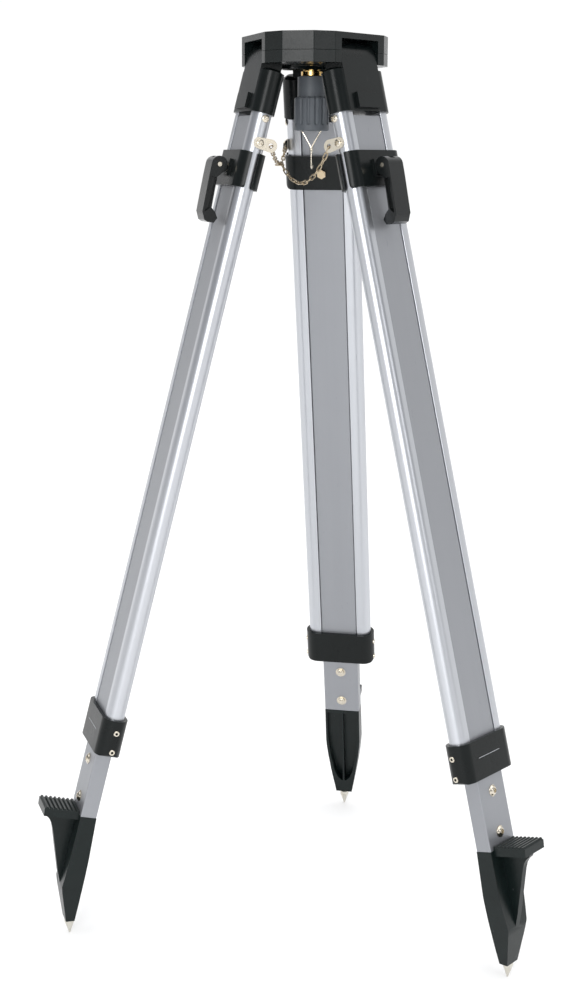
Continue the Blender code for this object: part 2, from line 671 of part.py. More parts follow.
def shoe_body_mesh():
    """Body of the shoe between the tube and the spike, before its recesses."""
    steps = 17
    work = bmesh.new()
    rings = []
    for step in range(steps + 1):
        t = step / steps
        down = SHOE_TOP + (SHOE_LENGTH + SHOE_TRIM) * t
        corners = box_outline(shoe_half_width(t), SHOE_BACK - SHOE_LEAN * t, shoe_front(t))
        rings.append([work.verts.new((x, y, -down)) for x, y in corners])
    for upper, lower in zip(rings, rings[1:]):
        for index in range(4):
            following = (index + 1) % 4
            work.faces.new((upper[index], lower[index], lower[following], upper[following]))
    work.faces.new(rings[0])
    work.faces.new(list(reversed(rings[-1])))
    bmesh.ops.recalc_face_normals(work, faces=work.faces)
    mesh = bpy.data.meshes.new("shoe")
    work.to_mesh(mesh)
    work.free()
    return mesh


def peg_mesh():
    """Foot peg: a plate with a ribbed top."""
    face = TUBE_THICKNESS / 2
    rib_pitch = (PEG_REACH - PEG_RIB_START) / PEG_RIB_COUNT
    top = -SHOE_TOP + PEG_RISE
    outline = [(face - PEG_ROOT, top - PEG_THICKNESS), (face - PEG_ROOT, -SHOE_TOP - GAP)]
    outline.append((face + GAP, -SHOE_TOP - GAP))
    for rib in range(PEG_RIB_COUNT):
        low = face + PEG_RIB_START + rib * rib_pitch
        outline += [(low, top), (low + 0.2 * rib_pitch, top + PEG_RIB_HEIGHT)]
        outline += [(low + 0.55 * rib_pitch, top + PEG_RIB_HEIGHT), (low + 0.75 * rib_pitch, top)]
    outline += [(PEG_END, top), (PEG_END - PEG_RAKE, top - PEG_THICKNESS)]
    return extruded([outline], -PEG_WIDTH / 2, PEG_WIDTH / 2, SIDE_VIEW)


def fin_mesh():
    """Web that carries the peg on the shoe's body, from its stations below the shoe's top."""
    under = -SHOE_TOP + PEG_RISE - PEG_THICKNESS
    outline = [(0.0, under + JOIN), (PEG_END - FIN_INSET, under + JOIN)]
    outline += [(PEG_END - back, -SHOE_TOP - down) for down, back in FIN_PROFILE]
    outline.append((0.0, -SHOE_TOP - FIN_PROFILE[-1][0]))
    return extruded([outline], -FIN_THICKNESS / 2, FIN_THICKNESS / 2, SIDE_VIEW)


def recess_tools(inner, profile, low_y, high_y):
    """Pair of pockets beside the middle web, cut between two depths."""
    outline = [(inner, -SHOE_TOP - profile[0][0])]
    outline += [(shoe_half_width(down / SHOE_LENGTH) - wall, -SHOE_TOP - down)
                for down, wall in profile]
    outline.append((inner, -SHOE_TOP - profile[-1][0]))
    pocket = extruded([outline], low_y, high_y, FRONT_VIEW)
    return [pocket, mirrored(pocket)]


def shoe_mesh():
    """Cast shoe: spigot in the tube, open body on a middle web, ribbed peg and spike socket."""
    half = TUBE_WIDTH / 2 - TUBE_WALL - GAP
    depth = TUBE_THICKNESS / 2 - TUBE_WALL - GAP
    spigot = box((-half, -depth, -SHOE_TOP - 2 * JOIN), (half, depth, -SHOE_TOP + SPIGOT_LENGTH))
    cuts = [cylinder(FOOT_BOLT_RADIUS + PIN_PLAY, -CUT_REACH, CUT_REACH, 12, ALONG_Y,
                     (0.0, 0.0, -UPPER_LEG_LENGTH - drop)) for drop in FOOT_BOLT_DROPS.values()]
    socket = cylinder(SPIKE_SHANK_RADIUS + GAP, -JOIN, SPIKE_SHANK + GAP, 16)
    under = box((-CUT_REACH,) * 3, (CUT_REACH, CUT_REACH, 0.0))
    for tool in (socket, under):
        tool.transform(Matrix.Rotation(-SPREAD, 4, "X"))
        tool.transform(Matrix.Translation((0.0, SPIKE_OUT, -SHOE_END)))
    cuts += recess_tools(FIN_THICKNESS / 2 + GAP, FRONT_RECESS, -CUT_REACH, -SHOE_WEB_FRONT)
    cuts += recess_tools(SHOE_RIB / 2, BACK_RECESS, -SHOE_WEB_BACK, CUT_REACH)
    return combined(shoe_body_mesh(), [spigot, peg_mesh(), fin_mesh()], cuts + [socket, under])


def spike_mesh():
    """Steel spike, upright when the leg is spread, with a shank set in the shoe."""
    profile = [(0.0, SPIKE_SHANK), (SPIKE_SHANK_RADIUS, SPIKE_SHANK), (SPIKE_SHANK_RADIUS, -GAP)]
    profile += [(SPIKE_RADIUS, -GAP), (SPIKE_RADIUS, -SPIKE_COLLAR)]
    profile += [(SPIKE_POINT, -SPIKE_LENGTH), (0.0, -SPIKE_LENGTH)]
    mesh = turned(profile, 20)
    mesh.transform(Matrix.Rotation(-SPREAD, 4, "X"))
    return mesh


def foot_bolt_mesh():
    """Through bolt of the shoe: round head outward, nut inward."""
    face = TUBE_THICKNESS / 2 + GAP
    shank = cylinder(FOOT_BOLT_RADIUS, -face - FOOT_BOLT_HEAD / 2, face + FOOT_BOLT_HEAD + BOLT_END,
                     12, ALONG_Y)
    head = cylinder(FOOT_BOLT_HEAD_RADIUS * 0.7, -face - FOOT_BOLT_HEAD, -face, 20, ALONG_Y,
                    (0.0, 0.0, 0.0), FOOT_BOLT_HEAD_RADIUS)
    nut = cylinder(FOOT_BOLT_HEAD_RADIUS, face, face + FOOT_BOLT_HEAD, 6, ALONG_Y)
    return combined(shank, [head, nut])


# ---------------------------------------------------------------- whole leg
def leg_meshes():
    """The meshes that all three legs share."""
    rail = rail_mesh()
    return {
        "yoke": yoke_mesh(), "rail_right": rail, "rail_left": mirrored(rail),
        "collar": collar_mesh(), "lower_tube": tube_mesh(), "clamp_bracket": clamp_shell(1.0),
        "clamp_plate": clamp_shell(-1.0), "clamp_bolt": clamp_bolt_mesh(),
        "clamp_lever": lever_mesh(), "shoe": shoe_mesh(), "spike": spike_mesh(),
        "foot_bolt": foot_bolt_mesh(),
        "lever_pin": cylinder(LEVER_PIN_RADIUS, -LEVER_WIDTH / 2, LEVER_WIDTH / 2, 12, ALONG_X),
    }


def make_leg(leg, meshes, finishes):
    """One leg: hinged yoke and rails, sliding tube with its clamp, and the foot."""
    turn = leg_turn(LEG_DIRECTIONS[leg])
    hinge = empty(leg + "_leg", turn @ Vector((0.0, HINGE_RADIUS, HINGE_HEIGHT)),
                  (SPREAD, 0.0, math.radians(LEG_DIRECTIONS[leg] - 90.0)), HEAD)
    black, aluminium, steel = finishes["black"], finishes["aluminium"], finishes["steel"]
    part(leg + "_yoke", meshes["yoke"], black, hinge)
    part(leg + "_rail_right", meshes["rail_right"], aluminium, hinge)
    part(leg + "_rail_left", meshes["rail_left"], aluminium, hinge)
    part(leg + "_collar", meshes["collar"], black, hinge)
    tab_place = (0.0, 0.0, -YOKE_LENGTH - TAB_DROP)
    part(leg + "_chain_tab", tab_mesh(CHAIN_SIDES[leg]), steel, hinge, tab_place)

    slide = empty(leg + "_lower_leg", (0.0, 0.0, 0.0), (0.0, 0.0, 0.0), hinge)
    part(leg + "_lower_tube", meshes["lower_tube"], finishes["grey"], slide)
    part(leg + "_clamp_bracket", meshes["clamp_bracket"], black, slide)
    part(leg + "_clamp_plate", meshes["clamp_plate"], black, slide)
    bolt_place = (0.0, 0.0, -CLAMP_MIDDLE)
    part(leg + "_clamp_bolt", meshes["clamp_bolt"], steel, slide, bolt_place)
    pivot = empty(leg + "_lever_pivot", (0.0, LEVER_PIVOT_OUT, -CLAMP_MIDDLE),
                  (0.0, 0.0, 0.0), slide)
    part(leg + "_clamp_lever", meshes["clamp_lever"], black, pivot)
    part(leg + "_lever_pin", meshes["lever_pin"], steel, pivot)
    part(leg + "_shoe", meshes["shoe"], black, slide)
    part(leg + "_spike", meshes["spike"], finishes["spike"], slide, (0.0, SPIKE_OUT, -SHOE_END))
    for place, drop in FOOT_BOLT_DROPS.items():
        part(leg + "_foot_bolt_" + place, meshes["foot_bolt"], steel, slide,
             (0.0, 0.0, -UPPER_LEG_LENGTH - drop))


# ---------------------------------------------------------------- chain
def tab_hole_place(leg):
    """Centre of a tab's hole in the head's frame."""
    side = CHAIN_SIDES[leg] * (LEG_HALF_WIDTH + GAP + TAB_THICKNESS / 2)
    place = Vector((side, -TAB_REACH, -YOKE_LENGTH - TAB_DROP))
    place = Matrix.Rotation(SPREAD, 4, "X") @ place
    place += Vector((0.0, HINGE_RADIUS, HINGE_HEIGHT))
    return leg_turn(LEG_DIRECTIONS[leg]) @ place


def chain_route(leg):
    """Sagging line from just under a tab's hole to just short of the ring."""
    start = tab_hole_place(leg) - Vector((0.0, 0.0, TAB_RADIUS + CHAIN_RADIUS + 0.0008))
    ring = Vector((*RING_PLACE, HINGE_HEIGHT - RING_DROP))
    away = (start - ring).normalized()
    end = ring + away * (RING_RADIUS + RING_WIRE + CHAIN_RADIUS + 0.0010)
    points = []
    for step in range(15):
        t = step / 14
        drop = CHAIN_SAGS[leg] * 4 * t * (1 - t)
        points.append(tuple(start.lerp(end, t) - Vector((0.0, 0.0, drop))))
    return points


def make_chain(steel):
    """Three strands from the tabs to the ring that joins them."""
    for leg in LEG_DIRECTIONS:
        part(leg + "_chain", wire(chain_route(leg), CHAIN_RADIUS), steel, HEAD)
    loop = [(x, y, 0.0) for x, y in arc(0.0, 0.0, RING_RADIUS, 0.0, 337.5, 15)]
    place = (*RING_PLACE, HINGE_HEIGHT - RING_DROP)
    part("chain_ring", wire(loop, RING_WIRE, 2, True), steel, HEAD, place)


# ---------------------------------------------------------------- centre screw
def make_arm(black, steel):
    """Swinging arm under the head that carries the centre screw in its slot."""
    pivot = Vector((ARM_PIVOT_RADIUS * math.cos(ARM_PIVOT_ANGLE),
                    ARM_PIVOT_RADIUS * math.sin(ARM_PIVOT_ANGLE), 0.0))
    carrier = empty("screw_arm_pivot", pivot, (0.0, 0.0, ARM_PIVOT_ANGLE + math.pi), HEAD)
    half = ARM_WIDTH / 2
    outline = arc(0.0, 0.0, 0.011, 90.0, 270.0, 10)
    outline += arc(ARM_REACH - half, 0.0, half, -90.0, 90.0, 14)
    middle = ARM_PIVOT_RADIUS
    slot_half = ARM_SLOT_LENGTH / 2 - ARM_SLOT_WIDTH / 2
    slot = arc(middle + slot_half, 0.0, ARM_SLOT_WIDTH / 2, -90.0, 90.0, 8)
    slot += arc(middle - slot_half, 0.0, ARM_SLOT_WIDTH / 2, 90.0, 270.0, 8)
    hole = arc(0.0, 0.0, ARM_PIN_RADIUS + PIN_PLAY, 0.0, 337.5, 15)
    arm = extruded([outline, slot, hole], ARM_BOTTOM, ARM_TOP)
    part("screw_arm", arm, black, carrier)
    head_low = ARM_BOTTOM - GAP
    pin = combined(
        cylinder(ARM_PIN_RADIUS, head_low - BLOCK_ROOT + JOIN, HINGE_HEIGHT - BLOCK_ROOT, 16),
        [cylinder(ARM_PIN_RADIUS * 1.9, head_low - 0.004, head_low, 20)],
    )
    part("screw_arm_pin", pin, steel, HEAD, pivot)


def knob_mesh():
    """Grip of the centre screw: smooth neck over a fluted body."""
    play = STUD_RADIUS + PIN_PLAY
    neck_edge, grip_edge = 0.0010, 0.0015
    profile = [(play, KNOB_TOP), (KNOB_NECK_RADIUS - neck_edge, KNOB_TOP),
               (KNOB_NECK_RADIUS, KNOB_TOP - neck_edge), (KNOB_NECK_RADIUS, GRIP_TOP),
               (KNOB_GRIP_RADIUS - grip_edge, GRIP_TOP),
               (KNOB_GRIP_RADIUS, GRIP_TOP - grip_edge),
               (KNOB_GRIP_RADIUS, KNOB_BOTTOM + grip_edge),
               (KNOB_GRIP_RADIUS - grip_edge, KNOB_BOTTOM),
               (play, KNOB_BOTTOM), (play, KNOB_TOP)]
    body = turned(profile, 42)
    flutes = []
    for index in range(KNOB_FLUTES):
        angle = 2 * math.pi * (index + 0.5) / KNOB_FLUTES
        centre = (KNOB_GRIP_RADIUS * math.cos(angle), KNOB_GRIP_RADIUS * math.sin(angle), 0.0)
        low = KNOB_BOTTOM + 0.0060
        flutes.append(cylinder(KNOB_FLUTE_RADIUS, low, GRIP_TOP + CUT_MARGIN, 8, None, centre))
    for sign in (1.0, -1.0):
        place = (sign * HOOK_HALF_WIDTH, 0.0, 0.0)
        flutes.append(cylinder(HOOK_WIRE + PIN_PLAY + 0.0004, KNOB_BOTTOM - CUT_MARGIN,
                               KNOB_BOTTOM + HOOK_POCKET, 8, None, place))
    return combined(body, cut=flutes)


def hook_mesh():
    """Wire bail below the knob that a plumb line hangs from."""
    top = 0.0
    throat = Vector((0.0, 0.0, top - HOOK_DROP))
    low = top - HOOK_LENGTH
    side = Vector((HOOK_HALF_WIDTH, 0.0, top))
    left = wire([tuple(side), tuple(throat + Vector((0.0006, 0.0, 0.0)))], HOOK_WIRE)
    right = mirrored(left)
    bend = [(0.0, y, low + 0.004 + z) for y, z in arc(0.004, 0.0, 0.004, 180.0, 340.0, 6)]
    stem = wire([(0.0, 0.0, throat.z + 0.001)] + bend, HOOK_WIRE)
    bead = cylinder(HOOK_WIRE * 2.2, throat.z - 0.002, throat.z + 0.002, 12)
    return combined(bead, [left, right, stem])


def make_screw(brass, grey, steel):
    """Brass bush in the arm's slot, the threaded stud, its grip and the plumb hook."""
    bush = turned([
        (STUD_RADIUS + PIN_PLAY, ARM_TOP - 0.0010), (BUSH_NECK_RADIUS, ARM_TOP - 0.0010),
        (BUSH_NECK_RADIUS, ARM_BOTTOM - GAP), (BUSH_RADIUS, ARM_BOTTOM - GAP),
        (BUSH_RADIUS, BUSH_BOTTOM), (STUD_RADIUS + PIN_PLAY, BUSH_BOTTOM),
        (STUD_RADIUS + PIN_PLAY, ARM_TOP - 0.0010)], 32)
    slide = empty("screw_slide", (0.0, 0.0, 0.0), (0.0, 0.0, 0.0), HEAD)
    part("screw_bush", bush, brass, slide)
    stud = turned([
        (0.0, HEAD_TOP - STUD_SINK), (STUD_RADIUS - 0.0015, HEAD_TOP - STUD_SINK),
        (STUD_RADIUS, HEAD_TOP - STUD_SINK - 0.0015), (STUD_RADIUS, KNOB_BOTTOM + 0.0030),
        (0.0, KNOB_BOTTOM + 0.0030)], 28)
    part("centre_screw", stud, brass, slide)
    part("screw_knob", knob_mesh(), grey, slide)
    part("plumb_hook", hook_mesh(), steel, slide, (0.0, 0.0, KNOB_BOTTOM))


clear_scene()
PARTS = collection("surveyor_tripod")
CUTTERS = collection("cutters")
FINISHES = {
    "black": material("black_coating", (0.012, 0.014, 0.015), 0.38, 0.0),
    "aluminium": material("satin_aluminium", (0.72, 0.73, 0.76), 0.28, 1.0),
    "grey": material("grey_anodised", (0.33, 0.33, 0.35), 0.45, 0.6),
    "steel": material("plated_steel", (0.62, 0.57, 0.48), 0.25, 1.0),
    "spike": material("bare_steel", (0.70, 0.70, 0.70), 0.32, 1.0),
    "brass": material("brass", (0.72, 0.46, 0.14), 0.25, 1.0),
    "knob": material("grey_plastic", (0.075, 0.085, 0.095), 0.42, 0.0),
}
HEAD = empty("head", (0.0, HEAD_Y, 0.0))
make_head(FINISHES["black"], FINISHES["steel"])
LEG_MESHES = leg_meshes()
for leg_name in LEG_DIRECTIONS:
    make_leg(leg_name, LEG_MESHES, FINISHES)
make_chain(FINISHES["steel"])
make_arm(FINISHES["black"], FINISHES["steel"])
make_screw(FINISHES["brass"], FINISHES["knob"], FINISHES["steel"])
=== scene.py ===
"""Surveyor tripod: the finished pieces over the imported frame, with their studio."""

import json
import logging
import math
from dataclasses import dataclass, field
from enum import Enum
from functools import lru_cache
from typing import Any

import bmesh
import bpy
from mathutils import Matrix, Vector


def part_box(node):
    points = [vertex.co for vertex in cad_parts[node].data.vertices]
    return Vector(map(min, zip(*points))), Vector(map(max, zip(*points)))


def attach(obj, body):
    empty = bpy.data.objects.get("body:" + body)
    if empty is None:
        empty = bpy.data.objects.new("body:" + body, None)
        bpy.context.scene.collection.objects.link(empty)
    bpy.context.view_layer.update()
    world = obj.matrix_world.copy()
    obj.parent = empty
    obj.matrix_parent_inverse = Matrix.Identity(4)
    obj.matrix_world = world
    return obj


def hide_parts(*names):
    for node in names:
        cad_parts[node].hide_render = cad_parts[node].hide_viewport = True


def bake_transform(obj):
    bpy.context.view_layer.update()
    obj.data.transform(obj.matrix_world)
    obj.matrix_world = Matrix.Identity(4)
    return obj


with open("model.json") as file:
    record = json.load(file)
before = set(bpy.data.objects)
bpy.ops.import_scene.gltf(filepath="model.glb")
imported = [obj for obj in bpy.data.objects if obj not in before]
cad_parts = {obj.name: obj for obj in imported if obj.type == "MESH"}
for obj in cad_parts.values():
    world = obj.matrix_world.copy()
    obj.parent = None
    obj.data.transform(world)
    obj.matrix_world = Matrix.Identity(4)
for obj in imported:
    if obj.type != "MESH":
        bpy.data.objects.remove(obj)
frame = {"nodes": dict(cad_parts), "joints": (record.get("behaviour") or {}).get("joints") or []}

LOG = logging.getLogger("tripod")
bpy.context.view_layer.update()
Mesh = bpy.types.Mesh
Outline = list[tuple[float, float]]
Colour = tuple[float, float, float, float]
SIDE_VIEW = Matrix(((0, 0, 1, 0), (1, 0, 0, 0), (0, 1, 0, 0), (0, 0, 0, 1)))
LIE_ALONG_Y = Matrix.Rotation(math.radians(90.0), 4, "X")


class Leg(Enum):
    """The three legs by their place round the head."""

    REAR = "rear"
    LEFT = "left"
    RIGHT = "right"


class Slot(Enum):
    """The record's material slots."""

    HEAD = "head_coating"
    BLACK = "black_plastic"
    LEVER = "lever_plastic"
    SHOE = "shoe_casting"
    SATIN = "satin_aluminium"
    ANODISED = "grey_anodised"
    PLATED = "plated_steel"
    STEEL = "bare_steel"
    BRASS = "brass"
    GRIP = "grip_plastic"


# Shader expressions
class Term:
    """One output socket of a node tree, which takes part in arithmetic."""

    def __init__(self, graph: "Graph", socket: bpy.types.NodeSocket) -> None:
        """Keeps the socket and the graph that it belongs to."""
        self.graph = graph
        self.socket = socket

    def _math(self, operation: str, first: Any, second: Any) -> "Term":
        """Adds one Math node.

        Args:
            operation: Blender's name of the operation.
            first: first value, a number or a Term.
            second: second value, a number or a Term.

        Returns:
            The node's output.
        """
        made = self.graph.node("ShaderNodeMath", {"operation": operation}, {0: first, 1: second})
        return Term(self.graph, made.outputs[0])

    def __add__(self, other: Any) -> "Term":
        """Sum."""
        return self._math("ADD", self, other)

    def __radd__(self, other: Any) -> "Term":
        """Reflected sum."""
        return self._math("ADD", other, self)

    def __sub__(self, other: Any) -> "Term":
        """Difference."""
        return self._math("SUBTRACT", self, other)

    def __rsub__(self, other: Any) -> "Term":
        """Reflected difference."""
        return self._math("SUBTRACT", other, self)

    def __mul__(self, other: Any) -> "Term":
        """Product."""
        return self._math("MULTIPLY", self, other)

    def __rmul__(self, other: Any) -> "Term":
        """Reflected product."""
        return self._math("MULTIPLY", other, self)


class Graph:
    """The node tree of one material."""

    def __init__(self, name: str) -> None:
        """Makes an empty material.

        Args:
            name: the material's name.
        """
        self.material = bpy.data.materials.new(name)
        self.material.use_nodes = True
        self.tree = self.material.node_tree
        self.tree.nodes.clear()

    def node(self, kind: str, settings: dict[str, Any] | None = None,
             inputs: dict[Any, Any] | None = None) -> bpy.types.Node:
        """Adds a node, sets it up and then fills or links its inputs.

        Args:
            kind: Blender's type name of the node.
            settings: properties to set first; "stops" holds a ramp's places and colours.
            inputs: value or Term for each input, by name or number.

        Returns:
            The node.
        """
        made = self.tree.nodes.new(kind)
        for key, value in (settings or {}).items():
            if key == "stops":
                ramp = made.color_ramp.elements
                while len(ramp) < len(value):
                    ramp.new(0.5)
                for stop, (place, colour) in zip(ramp, value):
                    stop.position = place
                    stop.color = colour
            else:
                setattr(made, key, value)
        for key, value in (inputs or {}).items():
            if isinstance(value, Term):
                self.tree.links.new(value.socket, made.inputs[key])
            else:
                made.inputs[key].default_value = value
        return made

    def place(self, stretch: tuple[float, float, float] = (1.0, 1.0, 1.0)) -> Term:
        """Position on the piece, in metres.

        Args:
            stretch: factor along each axis.

        Returns:
            The scaled position.
        """
        at = Term(self, self.node("ShaderNodeTexCoord").outputs["Object"])
        made = self.node("ShaderNodeVectorMath", {"operation": "MULTIPLY"}, {0: at, 1: stretch})
        return Term(self, made.outputs[0])

    def noise(self, place: Term, size: float, detail: float = 2.0) -> Term:
        """Smooth noise from 0 to 1.

        Args:
            place: position to read it at.
            size: distance between its blobs, in metres.
            detail: octaves.

        Returns:
            The value.
        """
        made = self.node("ShaderNodeTexNoise", None,
                         {"Vector": place, "Scale": 1.0 / size, "Detail": detail})
        return Term(self, made.outputs["Fac"])

    def between(self, value: Term, low: float, high: float) -> Term:
        """Soft step from 0 at low to 1 at high.

        Args:
            value: what is tested.
            low: where it starts.
            high: where it ends.

        Returns:
            A mask from 0 to 1.
        """
        made = self.node("ShaderNodeMapRange", {"interpolation_type": "SMOOTHSTEP"},
                         {"Value": value, "From Min": low, "From Max": high})
        return Term(self, made.outputs["Result"])

    def mix(self, mask: Term, first: Colour | Term, second: Colour | Term) -> Term:
        """Colour between two others.

        Args:
            mask: 0 for the first, 1 for the second.
            first: a colour.
            second: a colour.

        Returns:
            The mixed colour.
        """
        made = self.node("ShaderNodeMix", {"data_type": "RGBA"},
                         {"Factor": mask, 6: first, 7: second})
        return Term(self, made.outputs[2])

    def surface(self, height: Term | None, depth: float, **sockets: Any) -> bpy.types.Material:
        """Ends the tree in one shader.

        Args:
            height: relief from 0 to 1, or None.
            depth: height of the relief in metres.
            sockets: values or links of the shader's sockets, with _ for a space.

        Returns:
            The finished material.
        """
        inputs = {key.replace("_", " "): value for key, value in sockets.items()}
        if height is not None:
            bump = self.node("ShaderNodeBump", None,
                             {"Strength": 1.0, "Distance": depth, "Height": height})
            inputs["Normal"] = Term(self, bump.outputs["Normal"])
        shader = self.node("ShaderNodeBsdfPrincipled", None, inputs)
        self.node("ShaderNodeOutputMaterial", None, {0: Term(self, shader.outputs[0])})
        return self.material


# Finishes
class SkyGraph(Graph):
    """The node tree of the sky."""

    def __init__(self, name: str) -> None:
        """Makes an empty world.

        Args:
            name: the world's name.
        """
        self.world = bpy.data.worlds.new(name)
        self.world.use_nodes = True
        self.tree = self.world.node_tree
        self.tree.nodes.clear()

    def towards(self, direction: tuple[float, float, float]) -> Term:
        """How far a look into the sky goes along a direction.

        Args:
            direction: unit direction.

        Returns:
            Cosine of the angle between them.
        """
        look = Term(self, self.node("ShaderNodeTexCoord").outputs["Generated"])
        made = self.node("ShaderNodeVectorMath", {"operation": "DOT_PRODUCT"},
                         {0: look, 1: direction})
        return Term(self, made.outputs["Value"])

    def sky(self, colour: Term) -> bpy.types.World:
        """Ends the tree in the sky's light.

        Args:
            colour: what it gives off.

        Returns:
            The finished world.
        """
        back = self.node("ShaderNodeBackground", None, {"Color": colour, "Strength": 1.0})
        self.node("ShaderNodeOutputWorld", None, {0: Term(self, back.outputs[0])})
        return self.world


@dataclass(frozen=True)
class Finish:
    """What every finish has: its name, its slot and its base values."""

    name: str
    slot: Slot
    colour: tuple[float, float, float]
    roughness: float
    metallic: float = 0.0

    def shade(self, factor: float) -> Colour:
        """Base colour made lighter or darker.

        Args:
            factor: multiplier of each channel.

        Returns:
            The colour with alpha 1.
        """
        return (*(min(1.0, channel * factor) for channel in self.colour), 1.0)

    def material(self) -> bpy.types.Material:
        """Builds the finish's material."""
        raise NotImplementedError


@dataclass(frozen=True)
class MouldedPlastic(Finish):
    """Glass-filled black plastic from a spark-eroded mould, a little scuffed."""

    grain: float = 0.0007
    grain_depth: float = 0.00004
    scuffs: float = 0.10
    coat: float = 0.0

    def material(self) -> bpy.types.Material:
        """Builds the plastic: eroded grain, cloudy gloss and pale rubbed streaks."""
        graph = Graph(self.name)
        place = graph.place()
        grain = graph.noise(place, self.grain, 3.0)
        cloud = graph.noise(place, 0.030, 3.0)
        rub = graph.noise(graph.place((1.0, 1.0, 0.16)), 0.0035, 4.0)
        worn = graph.between(rub, 0.66, 0.78) * graph.between(cloud, 0.45, 0.70) * self.scuffs
        tone = graph.mix(cloud, self.shade(0.80), self.shade(1.25))
        colour = graph.mix(worn, tone, (0.20, 0.20, 0.20, 1.0))
        rough = self.roughness - 0.07 + 0.14 * cloud + 0.06 * grain
        return graph.surface(grain, self.grain_depth, Base_Color=colour, Roughness=rough,
                             Coat_Weight=self.coat, Coat_Roughness=0.25,
                             Specular_IOR_Level=0.22)


@dataclass(frozen=True)
class CoatedCasting(Finish):
    """Powder-coated casting: orange peel over a sand-cast face, with chipped spots."""

    peel: float = 0.0016
    peel_depth: float = 0.00009
    coat: float = 0.08

    def material(self) -> bpy.types.Material:
        """Builds the coating: peel, casting swell, dust-grey patches and tiny chips."""
        graph = Graph(self.name)
        place = graph.place()
        peel = graph.noise(place, self.peel, 2.0)
        swell = graph.noise(place, 0.012, 2.0)
        chip = graph.between(graph.noise(place, 0.0045, 5.0), 0.735, 0.76)
        tone = graph.mix(swell, self.shade(0.75), self.shade(1.35))
        colour = graph.mix(chip * 0.5, tone, (0.16, 0.16, 0.17, 1.0))
        rough = self.roughness - 0.05 + 0.12 * swell + 0.10 * chip
        return graph.surface(0.75 * peel + 0.25 * swell, self.peel_depth, Base_Color=colour,
                             Roughness=rough, Coat_Weight=self.coat, Coat_Roughness=0.30,
                             Specular_IOR_Level=0.22)


@dataclass(frozen=True)
class DrawnAluminium(Finish):
    """Drawn or extruded aluminium: fine die lines along the piece under a satin face."""

    line: float = 0.0011
    line_depth: float = 0.000012
    contrast: float = 0.10

    def material(self) -> bpy.types.Material:
        """Builds the metal: die lines, a faint cloud and a few handling marks."""
        graph = Graph(self.name)
        along = graph.place((1.0, 1.0, 0.004))
        line = graph.noise(along, self.line, 4.0)
        broad = graph.noise(graph.place((1.0, 1.0, 0.02)), 0.012, 2.0)
        cloud = graph.noise(graph.place(), 0.060, 4.0)
        mark = graph.between(graph.noise(graph.place((1.0, 1.0, 0.30)), 0.0040, 5.0), 0.70, 0.76)
        tone = graph.mix(0.5 * line + 0.5 * broad, self.shade(1.0 - self.contrast),
                         self.shade(1.0 + self.contrast))
        colour = graph.mix(mark * 0.18, tone, self.shade(0.60))
        rough = self.roughness - 0.06 + 0.08 * line + 0.06 * cloud + 0.10 * mark
        return graph.surface(line, self.line_depth, Base_Color=colour, Roughness=rough,
                             Metallic=self.metallic)


@dataclass(frozen=True)
class TurnedMetal(Finish):
    """Turned or plated metal: tool rings across the axis and a patchy, warm shine."""

    ring: float = 0.0006
    ring_depth: float = 0.00001
    warm: tuple[float, float, float] = (1.0, 0.93, 0.80)

    def material(self) -> bpy.types.Material:
        """Builds the metal: tool rings, warm patches and small dull specks."""
        graph = Graph(self.name)
        ring = graph.noise(graph.place((0.05, 0.05, 1.0)), self.ring, 2.0)
        patch = graph.noise(graph.place(), 0.006, 3.0)
        speck = graph.between(graph.noise(graph.place(), 0.0011, 4.0), 0.66, 0.74)
        warm = tuple(a * b for a, b in zip(self.colour, self.warm))
        tone = graph.mix(patch, self.shade(1.0), (*warm, 1.0))
        colour = graph.mix(speck * 0.25, tone, self.shade(0.45))
        rough = self.roughness - 0.05 + 0.10 * patch + 0.15 * speck
        return graph.surface(ring, self.ring_depth, Base_Color=colour, Roughness=rough,
                             Metallic=self.metallic)


@dataclass(frozen=True)
class PalePaper(Finish):
    """Seamless pale studio paper."""

    def material(self) -> bpy.types.Material:
        """Builds the paper with the faintest mottling."""
        graph = Graph(self.name)
        mottle = graph.noise(graph.place(), 0.40, 2.0)
        colour = graph.mix(mottle, self.shade(0.99), self.shade(1.0))
        return graph.surface(None, 0.0, Base_Color=colour, Roughness=self.roughness)


HEAD_COATING = CoatedCasting("satin black head coating", Slot.HEAD, (0.0036, 0.0058, 0.0058), 0.26)
SOCKET_PLASTIC = MouldedPlastic("black socket plastic", Slot.BLACK, (0.0038, 0.0056, 0.0056), 0.26)
LEVER_PLASTIC = MouldedPlastic("glossy lever plastic", Slot.LEVER, (0.0038, 0.0052, 0.0054), 0.20,
                               coat=0.2)
SHOE_COATING = CoatedCasting("blue-black shoe coating", Slot.SHOE, (0.0042, 0.0082, 0.0080), 0.32,
                             peel=0.0024, peel_depth=0.00015)
RAIL_SATIN = DrawnAluminium("satin drawn rail", Slot.SATIN, (0.53, 0.545, 0.575), 0.34, 1.0)
TUBE_ANODISED = DrawnAluminium("grey anodised tube", Slot.ANODISED, (0.31, 0.319, 0.340), 0.42,
                               0.70, line=0.0008, contrast=0.05)
NICKEL = TurnedMetal("nickel plated steel", Slot.PLATED, (0.64, 0.61, 0.55), 0.20, 1.0)
SPIKE_STEEL = TurnedMetal("ground spike steel", Slot.STEEL, (0.66, 0.66, 0.64), 0.34, 1.0,
                          ring=0.0009, ring_depth=0.00003)
CHAIN_NICKEL = TurnedMetal("aged chain nickel", Slot.PLATED, (0.46, 0.39, 0.29), 0.24, 1.0)
YELLOW_BRASS = TurnedMetal("yellow brass", Slot.BRASS, (0.80, 0.55, 0.22), 0.20, 1.0)
GRIP_GREY = MouldedPlastic("slate grey grip", Slot.GRIP, (0.112, 0.124, 0.138), 0.42,
                           grain=0.0009, scuffs=0.05)
STUDIO_PAPER = PalePaper("studio paper", Slot.HEAD, (0.92, 0.92, 0.92), 0.9)


